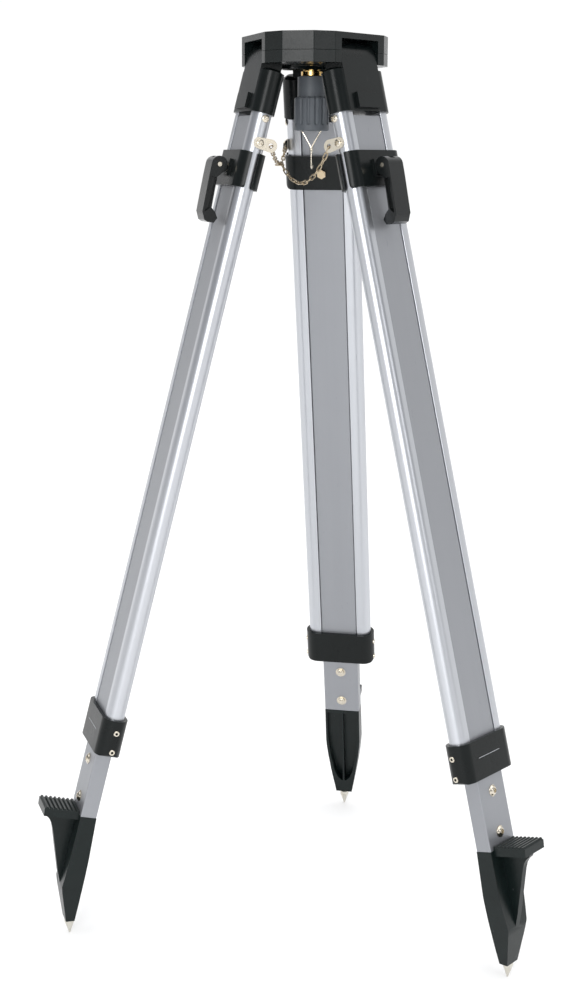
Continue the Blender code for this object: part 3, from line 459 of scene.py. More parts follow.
@lru_cache(maxsize=None)
def made_material(finish: Finish) -> bpy.types.Material:
    """Material of a finish, built once.

    Args:
        finish: the finish.

    Returns:
        Its material.
    """
    return finish.material()


def linked(name: str, data: Any) -> bpy.types.Object:
    """Puts data in the scene.

    Args:
        name: the object's name.
        data: its mesh, lamp or camera.

    Returns:
        The object.
    """
    made = bpy.data.objects.new(name, data)
    bpy.context.scene.collection.objects.link(made)
    return made


# Mesh making
def arc(x: float, y: float, radius: float, start: float, end: float, steps: int) -> Outline:
    """Points on an arc.

    Args:
        x: centre.
        y: centre.
        radius: radius in metres.
        start: first angle in degrees.
        end: last angle in degrees.
        steps: number of chords.

    Returns:
        steps + 1 points.
    """
    turns = (math.radians(start + (end - start) * step / steps) for step in range(steps + 1))
    return [(x + radius * math.cos(turn), y + radius * math.sin(turn)) for turn in turns]


def anticlockwise(outline: Outline) -> Outline:
    """The same loop, turned so that its inside is on its left.

    Args:
        outline: closed loop of points.

    Returns:
        The loop in anticlockwise order.
    """
    following = outline[1:] + outline[:1]
    area = sum(a[0] * b[1] - b[0] * a[1] for a, b in zip(outline, following))
    return list(outline) if area > 0 else list(reversed(outline))


def inset(outline: Outline, depth: float) -> Outline:
    """Loop moved inward by the same distance all round.

    Args:
        outline: anticlockwise loop.
        depth: distance in metres, negative to move outward.

    Returns:
        A loop with as many points.
    """
    moved = []
    for index, here in enumerate(outline):
        p = Vector(here)
        before = (p - Vector(outline[index - 1])).normalized()
        after = (Vector(outline[(index + 1) % len(outline)]) - p).normalized()
        first = Vector((-before.y, before.x))
        second = Vector((-after.y, after.x))
        middle = (first + second).normalized()
        moved.append(tuple(p + middle * (depth / max(0.4, middle.dot(first)))))
    return moved


def rounded(outline: Outline, radius: float, steps: int = 4) -> Outline:
    """Loop with each corner turned into an arc-like curve.

    Args:
        outline: closed loop of corners.
        radius: how far from the corner the curve starts.
        steps: chords in each corner.

    Returns:
        The softened loop.
    """
    soft = []
    for index, here in enumerate(outline):
        corner = Vector(here)
        back = Vector(outline[index - 1]) - corner
        on = Vector(outline[(index + 1) % len(outline)]) - corner
        reach = min(radius, back.length * 0.45, on.length * 0.45)
        start = corner + back.normalized() * reach
        end = corner + on.normalized() * reach
        for step in range(steps + 1):
            t = step / steps
            soft.append(tuple(start.lerp(corner, t).lerp(corner.lerp(end, t), t)))
    return soft


def mesh_from_rings(rings: list[list[Vector]], around: bool, capped: bool) -> Mesh:
    """Skin over a row of loops.

    Args:
        rings: loops with the same number of points.
        around: True joins the last loop to the first.
        capped: True closes the first and last loops with faces.

    Returns:
        A closed mesh with its faces outward.
    """
    work = bmesh.new()
    rows = [[work.verts.new(point) for point in ring] for ring in rings]
    pairs = list(zip(rows, rows[1:]))
    if around:
        pairs.append((rows[-1], rows[0]))
    for lower, upper in pairs:
        for index in range(len(lower)):
            following = (index + 1) % len(lower)
            work.faces.new((lower[index], lower[following], upper[following], upper[index]))
    if capped:
        work.faces.new(list(reversed(rows[0])))
        work.faces.new(rows[-1])
    bmesh.ops.remove_doubles(work, verts=work.verts, dist=1e-7)
    bmesh.ops.recalc_face_normals(work, faces=work.faces)
    mesh = bpy.data.meshes.new("form")
    work.to_mesh(mesh)
    work.free()
    return mesh


def prism(outline: Outline, low: float, high: float, rim: float = 0.0,
          turn: Matrix | None = None) -> Mesh:
    """Solid of one section with rounded rims.

    Args:
        outline: closed loop in XY.
        low: lower end.
        high: upper end.
        rim: radius of the rounding at both ends.
        turn: matrix to turn it by afterwards.

    Returns:
        The mesh.
    """
    loop = anticlockwise(outline)
    levels = [(low, 0.0), (high, 0.0)]
    if rim > 0:
        bends = [(rim * (1 - math.cos(a)), rim * (1 - math.sin(a)))
                 for a in (0.0, math.pi / 8, math.pi / 4, 3 * math.pi / 8, math.pi / 2)]
        levels = [(low + rise, back) for rise, back in bends]
        levels += [(high - rise, back) for rise, back in reversed(bends)]
    rings = [[Vector((x, y, z)) for x, y in inset(loop, back)] for z, back in levels]
    mesh = mesh_from_rings(rings, False, True)
    if turn is not None:
        mesh.transform(turn)
    return mesh


def sleeve(outline: Outline, wall: float, low: float, high: float) -> Mesh:
    """Hollow section with open ends.

    Args:
        outline: outer loop in XY.
        wall: wall thickness.
        low: lower end.
        high: upper end.

    Returns:
        The mesh.
    """
    loop = anticlockwise(outline)
    rows = [(low, 0.0), (high, 0.0), (high, wall), (low, wall)]
    rings = [[Vector((x, y, z)) for x, y in inset(loop, back)] for z, back in rows]
    return mesh_from_rings(rings, True, False)


def lathe(profile: Outline, sides: int = 48) -> Mesh:
    """Solid turned round Z.

    Args:
        profile: (radius, height) points; ends on the axis or closes on itself.
        sides: chords round.

    Returns:
        The mesh.
    """
    closed = profile[0] == profile[-1]
    turns = [2 * math.pi * k / sides for k in range(sides)]
    rings = [[Vector((radius * math.cos(a), radius * math.sin(a), height)) for a in turns]
             for radius, height in (profile[:-1] if closed else profile)]
    return mesh_from_rings(rings, closed, False)


def sweep(points: list[Vector], radius: float, sides: int = 10,
          closed: bool = False) -> Mesh:
    """Round wire along a line.

    Args:
        points: middle line.
        radius: radius of the wire.
        sides: chords round the wire.
        closed: True for a loop.

    Returns:
        The mesh.
    """
    rings = []
    normal = None
    count = len(points)
    for index, point in enumerate(points):
        before = points[index - 1] if closed or index else point
        after = points[(index + 1) % count] if closed or index < count - 1 else point
        along = (after - before).normalized()
        if normal is None:
            normal = along.orthogonal().normalized()
        normal = (normal - along * normal.dot(along)).normalized()
        across = along.cross(normal)
        rings.append([point + radius * (normal * math.cos(2 * math.pi * k / sides)
                                        + across * math.sin(2 * math.pi * k / sides))
                      for k in range(sides)])
    return mesh_from_rings(rings, closed, not closed)


def merged(meshes: list[Mesh]) -> Mesh:
    """One mesh that holds several.

    Args:
        meshes: the meshes, which aren't kept.

    Returns:
        The mesh of them all.
    """
    work = bmesh.new()
    for mesh in meshes:
        work.from_mesh(mesh)
    whole = bpy.data.meshes.new("form")
    work.to_mesh(whole)
    work.free()
    for mesh in set(meshes):
        bpy.data.meshes.remove(mesh)
    return whole


def moved(mesh: Mesh, matrix: Matrix) -> Mesh:
    """Copy of a mesh in another place.

    Args:
        mesh: the mesh.
        matrix: where it goes.

    Returns:
        The copy.
    """
    copy = mesh.copy()
    copy.transform(matrix)
    return copy


def carved(mesh: Mesh, tools: list[Mesh]) -> Mesh:
    """Mesh with others cut away.

    Args:
        mesh: what is carved.
        tools: closed meshes to cut away.

    Returns:
        The new mesh.
    """
    body = linked("carved", mesh)
    helpers = [body]
    for tool in tools:
        helper = linked("tool", tool)
        helpers.append(helper)
        step = body.modifiers.new("step", "BOOLEAN")
        step.operation, step.solver, step.object = "DIFFERENCE", "EXACT", helper
    bpy.context.view_layer.update()
    result = bpy.data.meshes.new_from_object(body.evaluated_get(
        bpy.context.evaluated_depsgraph_get()))
    for helper in helpers:
        data = helper.data
        bpy.data.objects.remove(helper)
        bpy.data.meshes.remove(data)
    return result


def eased(mesh: Mesh, width: float, sharpest: float = 32.0) -> Mesh:
    """Mesh whose crisp edges are broken as on a cast or moulded piece.

    Args:
        mesh: the mesh, which is changed.
        width: width of the broken edge.
        sharpest: edges that turn more than this many degrees are eased.

    Returns:
        The same mesh.
    """
    work = bmesh.new()
    work.from_mesh(mesh)
    bmesh.ops.remove_doubles(work, verts=work.verts, dist=2e-6)
    bmesh.ops.dissolve_limit(work, angle_limit=math.radians(1.5), verts=work.verts,
                             edges=work.edges)
    crisp = [edge for edge in work.edges
             if len(edge.link_faces) == 2
             and edge.calc_face_angle(0.0) > math.radians(sharpest)]
    bmesh.ops.bevel(work, geom=crisp, offset=width, offset_type="OFFSET", segments=2,
                    profile=0.5, affect="EDGES", clamp_overlap=True, miter_outer="ARC")
    bmesh.ops.recalc_face_normals(work, faces=work.faces)
    work.to_mesh(mesh)
    work.free()
    return mesh


def cad_form(node: str, width: float, place: Matrix | None = None) -> Mesh:
    """Eased copy of a CAD node's mesh in its own frame.

    Args:
        node: the CAD node.
        width: width of its broken edges, 0 to leave them.
        place: the frame that the copy is written in.

    Returns:
        The mesh.
    """
    mesh = frame["nodes"][node].data.copy()
    if place is not None:
        mesh.transform(place.inverted())
    return eased(mesh, width) if width > 0 else mesh


def fitted(name: str, mesh: Mesh, body: str, finish: Finish,
           place: Matrix | None = None, stands_for: tuple[str, ...] = (),
           smooth: float = 34.0) -> bpy.types.Object:
    """Puts a finished mesh on the tripod as one piece.

    Args:
        name: the piece's name.
        mesh: its mesh in its own frame.
        body: the CAD body that it moves with.
        finish: its finish.
        place: where its frame is.
        stands_for: CAD nodes that it replaces.
        smooth: edges below this many degrees look smooth.

    Returns:
        The piece.
    """
    mesh.name = name
    mesh.shade_smooth()
    mesh.set_sharp_from_angle(angle=math.radians(smooth))
    mesh.materials.clear()
    mesh.materials.append(made_material(finish))
    for polygon in mesh.polygons:
        polygon.material_index = 0
    piece = linked(name, mesh)
    if place is not None:
        piece.matrix_world = place
    levelled = piece.modifiers.new("even faces", "WEIGHTED_NORMAL")
    levelled.keep_sharp = True
    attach(piece, body)
    if stands_for:
        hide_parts(*stands_for)
    LOG.info("%s rides on %s, %d faces", name, body, len(mesh.polygons))
    return piece


def dressed(node: str, finish: Finish) -> None:
    """Gives a CAD node its finish.

    Args:
        node: the CAD node.
        finish: its finish.
    """
    carrier = frame["nodes"][node]
    carrier.data.materials.clear()
    carrier.data.materials.append(made_material(finish))
    LOG.info("%s dressed in %s", node, finish.name)


# Fasteners
@lru_cache(maxsize=None)
def cross_screw(radius: float, height: float) -> Mesh:
    """Domed screw head with a cross recess, standing on Z = 0.

    Args:
        radius: radius of the head.
        height: height of the dome.

    Returns:
        The mesh, shared by all such screws.
    """
    dome = [(0.0, -0.0004), (radius, -0.0004)]
    dome += [(radius * math.cos(a), height * (0.25 + 0.75 * math.sin(a)))
             for a in (math.radians(15 * k) for k in range(6))]
    dome.append((0.0, height))
    slots = []
    for turn in (45.0, 135.0):
        reach, half = radius * 0.62, radius * 0.15
        slot = prism([(-reach, -half), (reach, -half), (reach, half), (-reach, half)],
                     height * 0.35, height * 2)
        slot.transform(Matrix.Rotation(math.radians(turn), 4, "Z"))
        slots.append(slot)
    return carved(lathe(dome, 24), slots)


@lru_cache(maxsize=None)
def socket_screw(radius: float, height: float) -> Mesh:
    """Cap screw head with a hexagon socket, standing on Z = 0.

    Args:
        radius: radius of the head.
        height: height of the head.

    Returns:
        The mesh, shared by all such screws.
    """
    edge = radius * 0.16
    head = lathe([(0.0, -0.0004), (radius, -0.0004), (radius, height - edge),
                  (radius - edge, height), (0.0, height)], 28)
    socket = prism(arc(0.0, 0.0, radius * 0.52, 0.0, 300.0, 5), height * 0.25, height * 2)
    return carved(head, [socket])


@lru_cache(maxsize=None)
def hexagon_nut(radius: float, height: float, shank: float) -> Mesh:
    """Nut on its washer with the end of its bolt, standing on Z = 0.

    Args:
        radius: radius over the corners.
        height: height of the nut.
        shank: radius of the bolt.

    Returns:
        The mesh.
    """
    washer = lathe([(0.0, 0.0), (radius * 1.22, 0.0), (radius * 1.22, 0.0007),
                    (radius * 1.16, 0.0009), (0.0, 0.0009)], 32)
    nut = prism(rounded(arc(0.0, 0.0, radius, 0.0, 300.0, 5), radius * 0.12, 2),
                0.0008, height, radius * 0.14)
    end = lathe([(0.0, height - 0.001), (shank, height - 0.001), (shank, height + 0.0006),
                 (shank - 0.0006, height + 0.0012), (0.0, height + 0.0012)], 20)
    return merged([washer, nut, end])


# Head
@dataclass
class Head:
    """The two plates, the three hinge pins and the arm under them."""

    edge: float = 0.0012
    arm_edge: float = 0.0006

    def build(self) -> None:
        """Makes the plates and the arm, and dresses the pins."""
        for node in ("head_top_plate", "head_base_plate"):
            fitted(node + "_coated", cad_form(node, self.edge), "head", HEAD_COATING,
                   stands_for=(node,))
        fitted("screw_arm_pressed", cad_form("screw_arm", self.arm_edge), "screw_arm",
               HEAD_COATING, stands_for=("screw_arm",))
        for node in ("rear_hinge_pin", "left_hinge_pin", "right_hinge_pin", "screw_arm_pin"):
            dressed(node, NICKEL)


@dataclass
class CentreScrew:
    """Brass bush and stud, the fluted grip and the plumb hook."""

    neck_radius: float = 0.0160
    grip_radius: float = 0.0198
    neck_height: float = 0.0232
    flutes: int = 14
    flute_width: float = 0.0040
    flute_depth: float = 0.0014
    flute_end: float = 0.0072
    stud_radius: float = 0.0079
    hook_wire: float = 0.0008
    hook_half: float = 0.0112
    hook_throat: float = 0.0180
    bush_neck: float = 0.0096
    bush_lip: float = 0.0044
    thread_length: float = 0.0200
    thread_pitch: float = 0.0023
    thread_depth: float = 0.0011

    def __post_init__(self) -> None:
        """Reads the grip's place from the frame."""
        low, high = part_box("screw_knob")
        self.axis = Matrix.Translation(((low.x + high.x) / 2, (low.y + high.y) / 2, 0.0))
        self.bottom = low.z
        self.top = high.z

    def grip(self) -> Mesh:
        """Grip with a smooth neck over a body with flutes that run out above its foot.

        Returns:
            The mesh round the axis.
        """
        step = self.top - self.neck_height
        neck, body, bore = self.neck_radius, self.grip_radius, self.stud_radius + 0.0003
        rows = [(bore, self.top), (neck - 0.0012, self.top), (neck - 0.0003, self.top - 0.0004),
                (neck, self.top - 0.0014), (neck, step + 0.0012), (neck + 0.0004, step + 0.0004),
                (body - 0.0016, step), (body - 0.0005, step - 0.0005), (body, step - 0.0016)]
        foot = self.bottom + self.flute_end
        edge, run_out = step - 0.0016, foot + 0.003
        rows += [(body, edge + (run_out - edge) * k / 6) for k in range(1, 7)]
        rows += [(body, run_out - 0.0006 * k) for k in range(1, 8)]
        rows += [(body, self.bottom + 0.0016), (body - 0.0005, self.bottom + 0.0005),
                 (body - 0.0016, self.bottom), (bore, self.bottom)]
        sides = self.flutes * 12
        rings = []
        for radius, height in rows:
            ring = []
            for k in range(sides):
                turn = 2 * math.pi * k / sides
                from_flute = ((turn * self.flutes / (2 * math.pi)) % 1.0 - 0.5) * 2
                arc_way = from_flute * math.pi * self.grip_radius / self.flutes
                ends = min(1.0, max(0.0, (height - foot) / 0.0030 + 0.4))
                inside = 1 - (arc_way / (self.flute_width / 2)) ** 2 - (1 - ends) ** 2
                dent = self.flute_depth * math.sqrt(max(0.0, inside)) if radius > neck else 0.0
                reach = radius - dent
                ring.append(Vector((reach * math.cos(turn), reach * math.sin(turn), height)))
            rings.append(ring)
        return mesh_from_rings(rings, True, False)

    def hook(self) -> Mesh:
        """Bent wire: two arms to a throat, and a hook below it.

        Returns:
            The mesh round the axis.
        """
        low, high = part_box("plumb_hook")
        top, throat, half = high.z, high.z - self.hook_throat, self.hook_half
        left = [Vector((half, 0.0, top)), Vector((half * 0.55, 0.0, (top + throat) / 2 + 0.0006)),
                Vector((0.0010, 0.0, throat + 0.0006)), Vector((0.0006, 0.0, throat - 0.003))]
        right = [Vector((-p.x, p.y, p.z)) for p in left]
        bend = [Vector((0.0, y, low.z + 0.0048 + z))
                for y, z in arc(0.004, 0.0, 0.004, 180.0, 350.0, 12)]
        stem = [Vector((0.0, 0.0, throat + 0.001)), Vector((0.0, 0.0, throat - 0.006))] + bend
        wraps = [Vector((0.0017 * math.cos(a), 0.0017 * math.sin(a), throat - 0.0002 * k))
                 for k, a in ((k, k * math.pi / 6) for k in range(25))]
        return merged([sweep(left, self.hook_wire), sweep(right, self.hook_wire),
                       sweep(stem, self.hook_wire), sweep(wraps, self.hook_wire * 0.8, 8)])

    def build(self) -> None:
        """Makes the grip, brass and hook."""
        fitted("screw_grip", self.grip(), "centre_screw", GRIP_GREY, self.axis, ("screw_knob",),
               40.0)
        bush_low, bush_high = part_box("screw_bush")
        width = (bush_high.x - bush_low.x) / 2
        bore = self.stud_radius + 0.0003
        neck, low, high = self.bush_neck, bush_low.z, bush_high.z
        lip = high - self.bush_lip
        rim = [(bore, high), (neck, high), (neck, lip), (width - 0.0004, lip),
               (width, lip - 0.0004), (width, low + 0.0005), (width - 0.0005, low), (bore, low),
               (bore, high)]
        fitted("brass_bush", lathe(rim, 64), "screw_slider", YELLOW_BRASS, self.axis,
               ("screw_bush",))
        stud_low, stud_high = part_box("centre_screw")
        stud = [(0.0, stud_low.z), (self.stud_radius, stud_low.z),
                (self.stud_radius, stud_high.z - self.thread_length)]
        pitch, root = self.thread_pitch, self.stud_radius - self.thread_depth
        for k in range(8):
            height = stud_high.z - self.thread_length + k * pitch
            stud += [(self.stud_radius, height + pitch * 0.35), (root, height + pitch * 0.55),
                     (root, height + pitch * 0.65), (self.stud_radius, height + pitch * 0.85)]
        stud += [(self.stud_radius - 0.0014, stud_high.z), (0.0, stud_high.z)]
        fitted("brass_stud", lathe(stud, 40), "centre_screw", YELLOW_BRASS, self.axis,
               ("centre_screw",))
        fitted("plumb_wire", self.hook(), "plumb_hook", NICKEL, self.axis, ("plumb_hook",))


# Legs
def leg_place(leg: Leg) -> Matrix:
    """Frame of a leg: X across it, Y outward and Z up along it, from its hinge.

    Args:
        leg: which leg.

    Returns:
        The frame's matrix.
    """
    joints = {joint["name"]: joint for joint in frame["joints"]}
    hinge = joints[leg.value + "_leg_spread"]
    across = Vector(hinge["axis"]).normalized()
    up = -Vector(joints[leg.value + "_leg_extension"]["axis"]).normalized()
    outward = up.cross(across)
    matrix = Matrix((across, outward, up)).transposed().to_4x4()
    return Matrix.Translation(hinge["pos_m"]) @ matrix


@dataclass
class UpperLeg:
    """Yoke, two rails, collar and chain tab of one leg."""

    leg: Leg
    rail_thickness: float = 0.0216
    rail_inner: float = 0.0244
    rail_centre: float = 0.0314
    rail_wall: float = 0.0016
    rail_top: float = 0.0261
    rail_end: float = 0.8140
    rail_corner: float = 0.0008
    collar_half: float = 0.0467
    collar_stations: tuple[float, float] = (0.7884, 0.8114)
    seam_ends: tuple[float, float] = (-0.0190, 0.0210)
    seam_station: float = 0.7940
    seam_width: float = 0.0005
    seam_out: tuple[float, float] = (0.0148, 0.01545)
    screw_stations: tuple[float, float] = (0.0740, 0.1010)
    screw_out: float = -0.0020
    tab_lift: float = 0.0018

    def __post_init__(self) -> None:
        """Finds the leg's frame."""
        self.place = leg_place(self.leg)
        self.body = self.leg.value + "_leg"

    def rail(self, sign: float) -> Mesh:
        """One hollow D section.

        Args:
            sign: 1 for the rail at +X, -1 for the other.

        Returns:
            The mesh in the leg's frame.
        """
        half, corner = self.rail_thickness / 2, self.rail_corner
        inner = self.rail_inner + corner
        outline = arc(inner, -half + corner, corner, 180.0, 270.0, 4)
        outline += arc(self.rail_centre, 0.0, half, -90.0, 90.0, 36)
        outline += arc(inner, half - corner, corner, 90.0, 180.0, 4)
        return sleeve([(sign * x, y) for x, y in outline], self.rail_wall,
                      -self.rail_end, -self.rail_top)

    def sideways(self, side: float, reach: float, station: float) -> Matrix:
        """Place of a screw that points out of the leg's side.

        Args:
            side: 1 for the side at +X, -1 for the other.
            reach: distance from the leg's middle.
            station: distance below the hinge.

        Returns:
            Its matrix in the leg's frame.
        """
        turn = Matrix.Rotation(math.radians(90.0 * side), 4, "Y")
        return Matrix.Translation((side * reach, self.screw_out, -station)) @ turn

    def screws(self, tab_side: float) -> Mesh:
        """Cross-recessed screws in the rails below the yoke.

        Args:
            tab_side: side whose lower screw holds the chain tab.

        Returns:
            The mesh of all four.
        """
        face = self.rail_centre + self.rail_thickness / 2 - 0.0002
        made = []
        for side in (1.0, -1.0):
            for station in self.screw_stations:
                holds_tab = side == tab_side and station == self.screw_stations[1]
                place = self.sideways(side, face + self.tab_lift * holds_tab, station)
                made.append(moved(cross_screw(0.0043, 0.0021), place))
        return merged(made)

    def collar_screws(self) -> Mesh:
        """Two cap screws in each end of the collar.

        Returns:
            The mesh of all four.
        """
        screw = socket_screw(0.0033, 0.0022)
        return merged([moved(screw, self.sideways(side, self.collar_half - 0.0014, station))
                       for side in (1.0, -1.0) for station in self.collar_stations])

    def build(self, tab_side: float) -> None:
        """Makes the upper leg.

        Args:
            tab_side: side that carries the chain tab.
        """
        name = self.leg.value
        for node, made, edge, finish in (("yoke", "yoke_casting", 0.0007, SOCKET_PLASTIC),
                                         ("collar", "rail_collar", 0.0008, SOCKET_PLASTIC),
                                         ("chain_tab", "tab_plate", 0.0002, NICKEL)):
            node = f"{name}_{node}"
            fitted(f"{name}_{made}", cad_form(node, edge, self.place), self.body, finish,
                   self.place, (node,))
        for side, sign in (("right", 1.0), ("left", -1.0)):
            fitted(f"{name}_rail_{side}_drawn", self.rail(sign), self.body, RAIL_SATIN,
                   self.place, (f"{name}_rail_{side}",), 20.0)
        fitted(name + "_rail_screws", self.screws(tab_side), self.body, NICKEL, self.place)
        fitted(name + "_collar_screws", self.collar_screws(), self.body, NICKEL, self.place)
        (left, right), (inner, outer) = self.seam_ends, self.seam_out
        under = -self.seam_station - self.seam_width / 2
        over = under + self.seam_width
        line = prism([(left, under), (right, under), (right, over), (left, over)], -outer, -inner,
                     0.0, LIE_ALONG_Y)
        fitted(name + "_collar_seam", line, self.body, RAIL_SATIN, self.place)


@dataclass
class LowerLeg:
    """Sliding tube with its clamp, lever, shoe, spike and bolts."""

    leg: Leg
    half_width: float = 0.0240
    half_depth: float = 0.00975
    corner: float = 0.0014
    wall: float = 0.0018
    top: float = 0.0730
    shoe_top: float = 0.9010
    lever_width: float = 0.0260
    pivot_out: float = 0.0280
    hollow_depth: float = 0.0035
    hollow_corner: float = 0.0016
    hollow: tuple[tuple[float, float], ...] = ((0.0072, 0.0150), (-0.0002, 0.0150),
                                               (-0.0005, 0.0490), (0.0044, 0.0545))
    bolt_radius: float = 0.0066
    bolt_stations: tuple[float, float] = (0.8370, 0.8840)
    clamp_middle: float = 0.1325

    def __post_init__(self) -> None:
        """Finds the leg's frame."""
        self.place = leg_place(self.leg)
        self.body = self.leg.value + "_lower_leg"

    def tube(self) -> Mesh:
        """Rectangular tube with rounded corners.

        Returns:
            The mesh in the leg's frame.
        """
        x, y, r = self.half_width, self.half_depth, self.corner
        outline: Outline = []
        for cx, cy, start in ((x - r, y - r, 0.0), (-x + r, y - r, 90.0),
                              (-x + r, -y + r, 180.0), (x - r, -y + r, 270.0)):
            outline += arc(cx, cy, r, start, start + 90.0, 6)
        return sleeve(outline, self.wall, -self.shoe_top + 0.0003, -self.top)

    def lever(self) -> Mesh:
        """Lever with a long hollow in each side and rounded edges.

        Returns:
            The mesh in the leg's frame.
        """
        shape = [(self.pivot_out + out, -self.clamp_middle - down) for out, down in self.hollow]
        hollow = rounded(anticlockwise(shape), self.hollow_corner, 4)
        half = self.lever_width / 2
        tools = [prism(hollow, half - self.hollow_depth, half + 0.002, 0.0, SIDE_VIEW),
                 prism(hollow, -half - 0.002, self.hollow_depth - half, 0.0, SIDE_VIEW)]
        solid = cad_form(self.leg.value + "_clamp_lever", 0.0, self.place)
        return eased(carved(solid, tools), 0.0008)

    def foot_bolts(self) -> Mesh:
        """Domed heads outward and nuts inward, at both stations.

        Returns:
            The mesh of both bolts.
        """
        made = []
        for station in self.bolt_stations:
            rim = self.bolt_radius
            head = [(0.0, 0.0), (rim, 0.0), (rim, 0.0006), (rim - 0.0006, 0.0009)]
            head += [((rim - 0.0010) * math.cos(a), 0.0009 + 0.0026 * math.sin(a))
                     for a in (math.radians(10 + 14 * k) for k in range(4))]
            head += [(0.0026, 0.0034), (0.0022, 0.0014), (0.0, 0.0012)]
            outward = Matrix.Translation((0.0, self.half_depth, -station)) @ Matrix.Rotation(
                math.radians(-90.0), 4, "X")
            inward = Matrix.Translation((0.0, -self.half_depth, -station)) @ LIE_ALONG_Y
            made.append(moved(lathe(head, 32), outward))
            made.append(moved(hexagon_nut(0.0056, 0.0034, 0.0030), inward))
        return merged(made)

    def build(self) -> None:
        """Makes the lower leg and its lever."""
        name = self.leg.value
        fitted(name + "_tube_anodised", self.tube(), self.body, TUBE_ANODISED, self.place,
               (name + "_lower_tube",), 20.0)
        for part in ("clamp_bracket", "clamp_plate"):
            fitted(f"{name}_{part}_moulded", cad_form(f"{name}_{part}", 0.0006, self.place),
                   self.body, SOCKET_PLASTIC, self.place, (f"{name}_{part}",))
        fitted(name + "_shoe_cast", cad_form(name + "_shoe", 0.0007), self.body, SHOE_COATING,
               stands_for=(name + "_shoe",))
        fitted(name + "_foot_bolts", self.foot_bolts(), self.body, NICKEL, self.place,
               (name + "_foot_bolt_upper", name + "_foot_bolt_lower"))
        fitted(name + "_spike_ground", cad_form(name + "_spike", 0.0), self.body, SPIKE_STEEL,
               stands_for=(name + "_spike",), smooth=40.0)
        fitted(name + "_lever_moulded", self.lever(), name + "_lever", LEVER_PLASTIC, self.place,
               (name + "_clamp_lever",))
        dressed(name + "_clamp_bolt", CHAIN_NICKEL)
        dressed(name + "_lever_pin", NICKEL)


# Chain
@dataclass
class LimiterChain:
    """Three strands of welded links that meet at a ring."""

    wire: float = 0.00075
    link_length: float = 0.0116
    link_width: float = 0.0052
    tab_reach: float = 0.0150
    tab_station: float = 0.1010
    tab_side_out: float = 0.0430
    ring_radius: float = 0.0045
    sags: dict[Leg, float] = field(default_factory=lambda: {
        Leg.REAR: 0.006, Leg.LEFT: 0.004, Leg.RIGHT: 0.030})
    sides: dict[Leg, float] = field(default_factory=lambda: {
        Leg.REAR: -1.0, Leg.LEFT: -1.0, Leg.RIGHT: 1.0})

    def __post_init__(self) -> None:
        """Reads the ring's place from the frame."""
        low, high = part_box("chain_ring")
        self.ring = (low + high) / 2

    def link(self) -> Mesh:
        """One oval link that lies along X in the XY plane.

        Returns:
            The mesh.
        """
        radius = self.link_width / 2 - self.wire
        straight = self.link_length / 2 - self.wire - radius
        loop = arc(straight, 0.0, radius, -90.0, 90.0, 8) + arc(-straight, 0.0, radius, 90.0,
                                                                270.0, 8)
        return sweep([Vector((x, y, 0.0)) for x, y in loop], self.wire, 8, True)

    def strand(self, leg: Leg) -> tuple[Mesh, Vector, Vector]:
        """Links from a leg's tab to the ring.

        Args:
            leg: which leg.

        Returns:
            The mesh, and the two ends of the strand.
        """
        hole = leg_place(leg) @ Vector((self.sides[leg] * self.tab_side_out, -self.tab_reach,
                                        -self.tab_station))
        away = (hole - self.ring).normalized()
        end = self.ring + away * self.ring_radius
        count = 240
        line = []
        for step in range(count + 1):
            t = step / count
            line.append(hole.lerp(end, t) - Vector((0.0, 0.0, self.sags[leg] * 4 * t * (1 - t))))
        pitch = self.link_length - 4 * self.wire
        lengths = [0.0]
        for a, b in zip(line, line[1:]):
            lengths.append(lengths[-1] + (b - a).length)
        links = max(2, round(lengths[-1] / pitch))
        pitch = lengths[-1] / links
        made = []
        pattern = self.link()
        for index in range(links):
            ends = []
            for way in (index * pitch, (index + 1) * pitch):
                spot = min(range(count), key=lambda k: abs(lengths[k] - way))
                ends.append(line[spot])
            along = (ends[1] - ends[0]).normalized()
            side = along.cross(Vector((0.0, 0.0, 1.0)))
            side = side.normalized() if side.length > 0.1 else Vector((1.0, 0.0, 0.0))
            lift = side.cross(along)
            turn = math.radians(90.0 * (index % 2) + 25.0 + 8.0 * math.sin(index * 1.7))
            across = side * math.cos(turn) + lift * math.sin(turn)
            third = along.cross(across)
            matrix = Matrix((along, across, third)).transposed().to_4x4()
            made.append(moved(pattern, Matrix.Translation((ends[0] + ends[1]) / 2) @ matrix))
        bpy.data.meshes.remove(pattern)
        return merged(made), end, hole

    def build(self) -> None:
        """Makes the strands and the ring."""
        for leg in Leg:
            mesh, start, end = self.strand(leg)
            mesh.name = leg.value + "_chain_links"
            mesh.shade_smooth()
            mesh.materials.append(made_material(CHAIN_NICKEL))
            piece = linked(mesh.name, mesh)
            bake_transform(piece)
            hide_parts(leg.value + "_chain")
            LOG.info("%s bends from the head to its leg", piece.name)
        loop = [Vector((x, y, 0.0)) for x, y in arc(0.0, 0.0, self.ring_radius, 0.0, 345.0, 23)]
        fitted("joining_ring", sweep(loop, 0.0011, 12, True), "head", CHAIN_NICKEL,
               Matrix.Translation(self.ring), ("chain_ring",), 60.0)


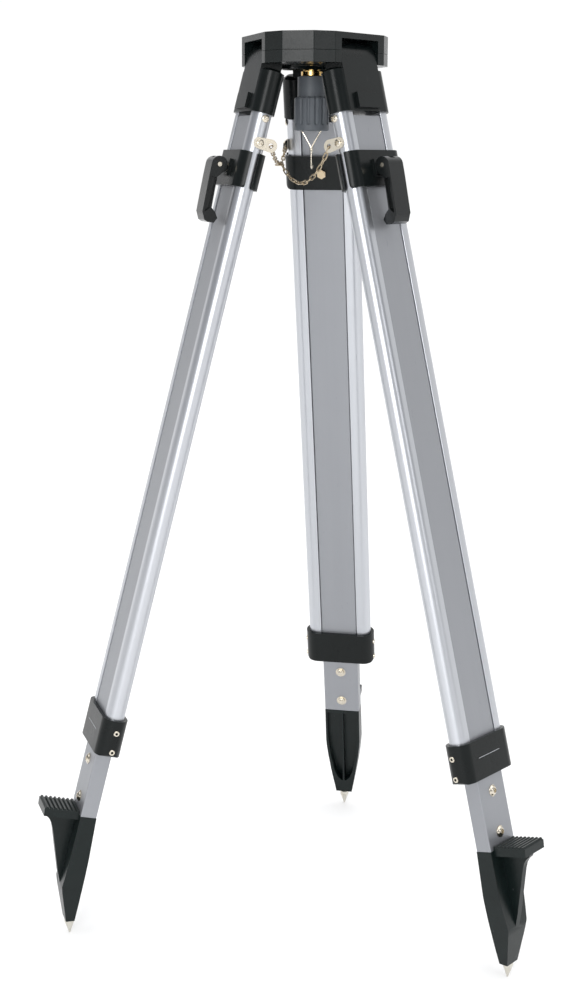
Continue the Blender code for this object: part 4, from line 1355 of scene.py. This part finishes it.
# Studio
@dataclass
class Studio:
    """Floor, lights and camera."""

    camera_at: tuple[float, float, float] = (0.3300, -1.8769, 0.9078)
    forward: tuple[float, float, float] = (-0.19098, 0.95855, -0.21148)
    up: tuple[float, float, float] = (-0.04486, 0.20670, 0.97738)
    lens: float = 56.457
    room: Colour = (0.27, 0.28, 0.30, 1.0)
    behind: Colour = (1.02, 1.02, 1.02, 1.0)
    ceiling: Colour = (1.90, 1.90, 1.90, 1.0)

    def lamp(self, name: str, at: tuple[float, float, float], size: float, power: float) -> None:
        """Adds a square softbox that faces the middle of the tripod.

        Args:
            name: the lamp's name.
            at: its place.
            size: its side in metres.
            power: its power in watts.
        """
        data = bpy.data.lights.new(name, "AREA")
        data.size, data.energy = size, power
        lamp = linked(name, data)
        lamp.location = at
        aim = Vector((0.0, 0.0, 0.55)) - Vector(at)
        lamp.visible_camera = False
        lamp.rotation_euler = aim.to_track_quat("-Z", "Y").to_euler()

    def build(self) -> None:
        """Makes the floor, the lights, the sky and the camera."""
        scene = bpy.context.scene
        scene.view_settings.view_transform = "Standard"
        floor = linked("floor", prism(arc(0.0, 0.0, 30.0, 0.0, 354.0, 59), -0.01, -0.0002))
        floor.data.materials.append(made_material(STUDIO_PAPER))
        self.lamp("key", (-0.2, -3.2, 1.5), 1.2, 36.0)
        self.lamp("fill", (2.8, -2.0, 1.6), 1.0, 8.0)
        graph = SkyGraph("sky")
        behind = graph.between(graph.towards((0.31, 0.95, 0.0)), 0.30, 0.66)
        ceiling = graph.between(graph.towards((0.0, 0.0, 1.0)), 0.50, 0.85)
        haze = 1.0 - graph.between(graph.towards((0.0, 0.0, 1.0)), 0.05, 0.22)
        walls = graph.mix(behind, graph.mix(haze, self.room, self.behind), self.behind)
        colour = graph.mix(ceiling, walls, self.ceiling)
        scene.world = graph.sky(colour)
        data = bpy.data.cameras.new("camera")
        data.sensor_width = 36.0
        data.lens = self.lens
        data.clip_end = 100.0
        camera = linked("camera", data)
        forward, up = Vector(self.forward).normalized(), Vector(self.up).normalized()
        right = forward.cross(up).normalized()
        up = right.cross(forward)
        turn = Matrix((right, up, -forward)).transposed().to_4x4()
        camera.matrix_world = Matrix.Translation(self.camera_at) @ turn
        scene.camera = camera


def main() -> None:
    """Builds the tripod and its studio."""
    logging.basicConfig(level=logging.INFO, format="%(message)s")
    Studio().build()
    Head().build()
    CentreScrew().build()
    chain = LimiterChain()
    for leg in Leg:
        UpperLeg(leg).build(chain.sides[leg])
        LowerLeg(leg).build()
    chain.build()


if __name__ == "__main__":
    main()
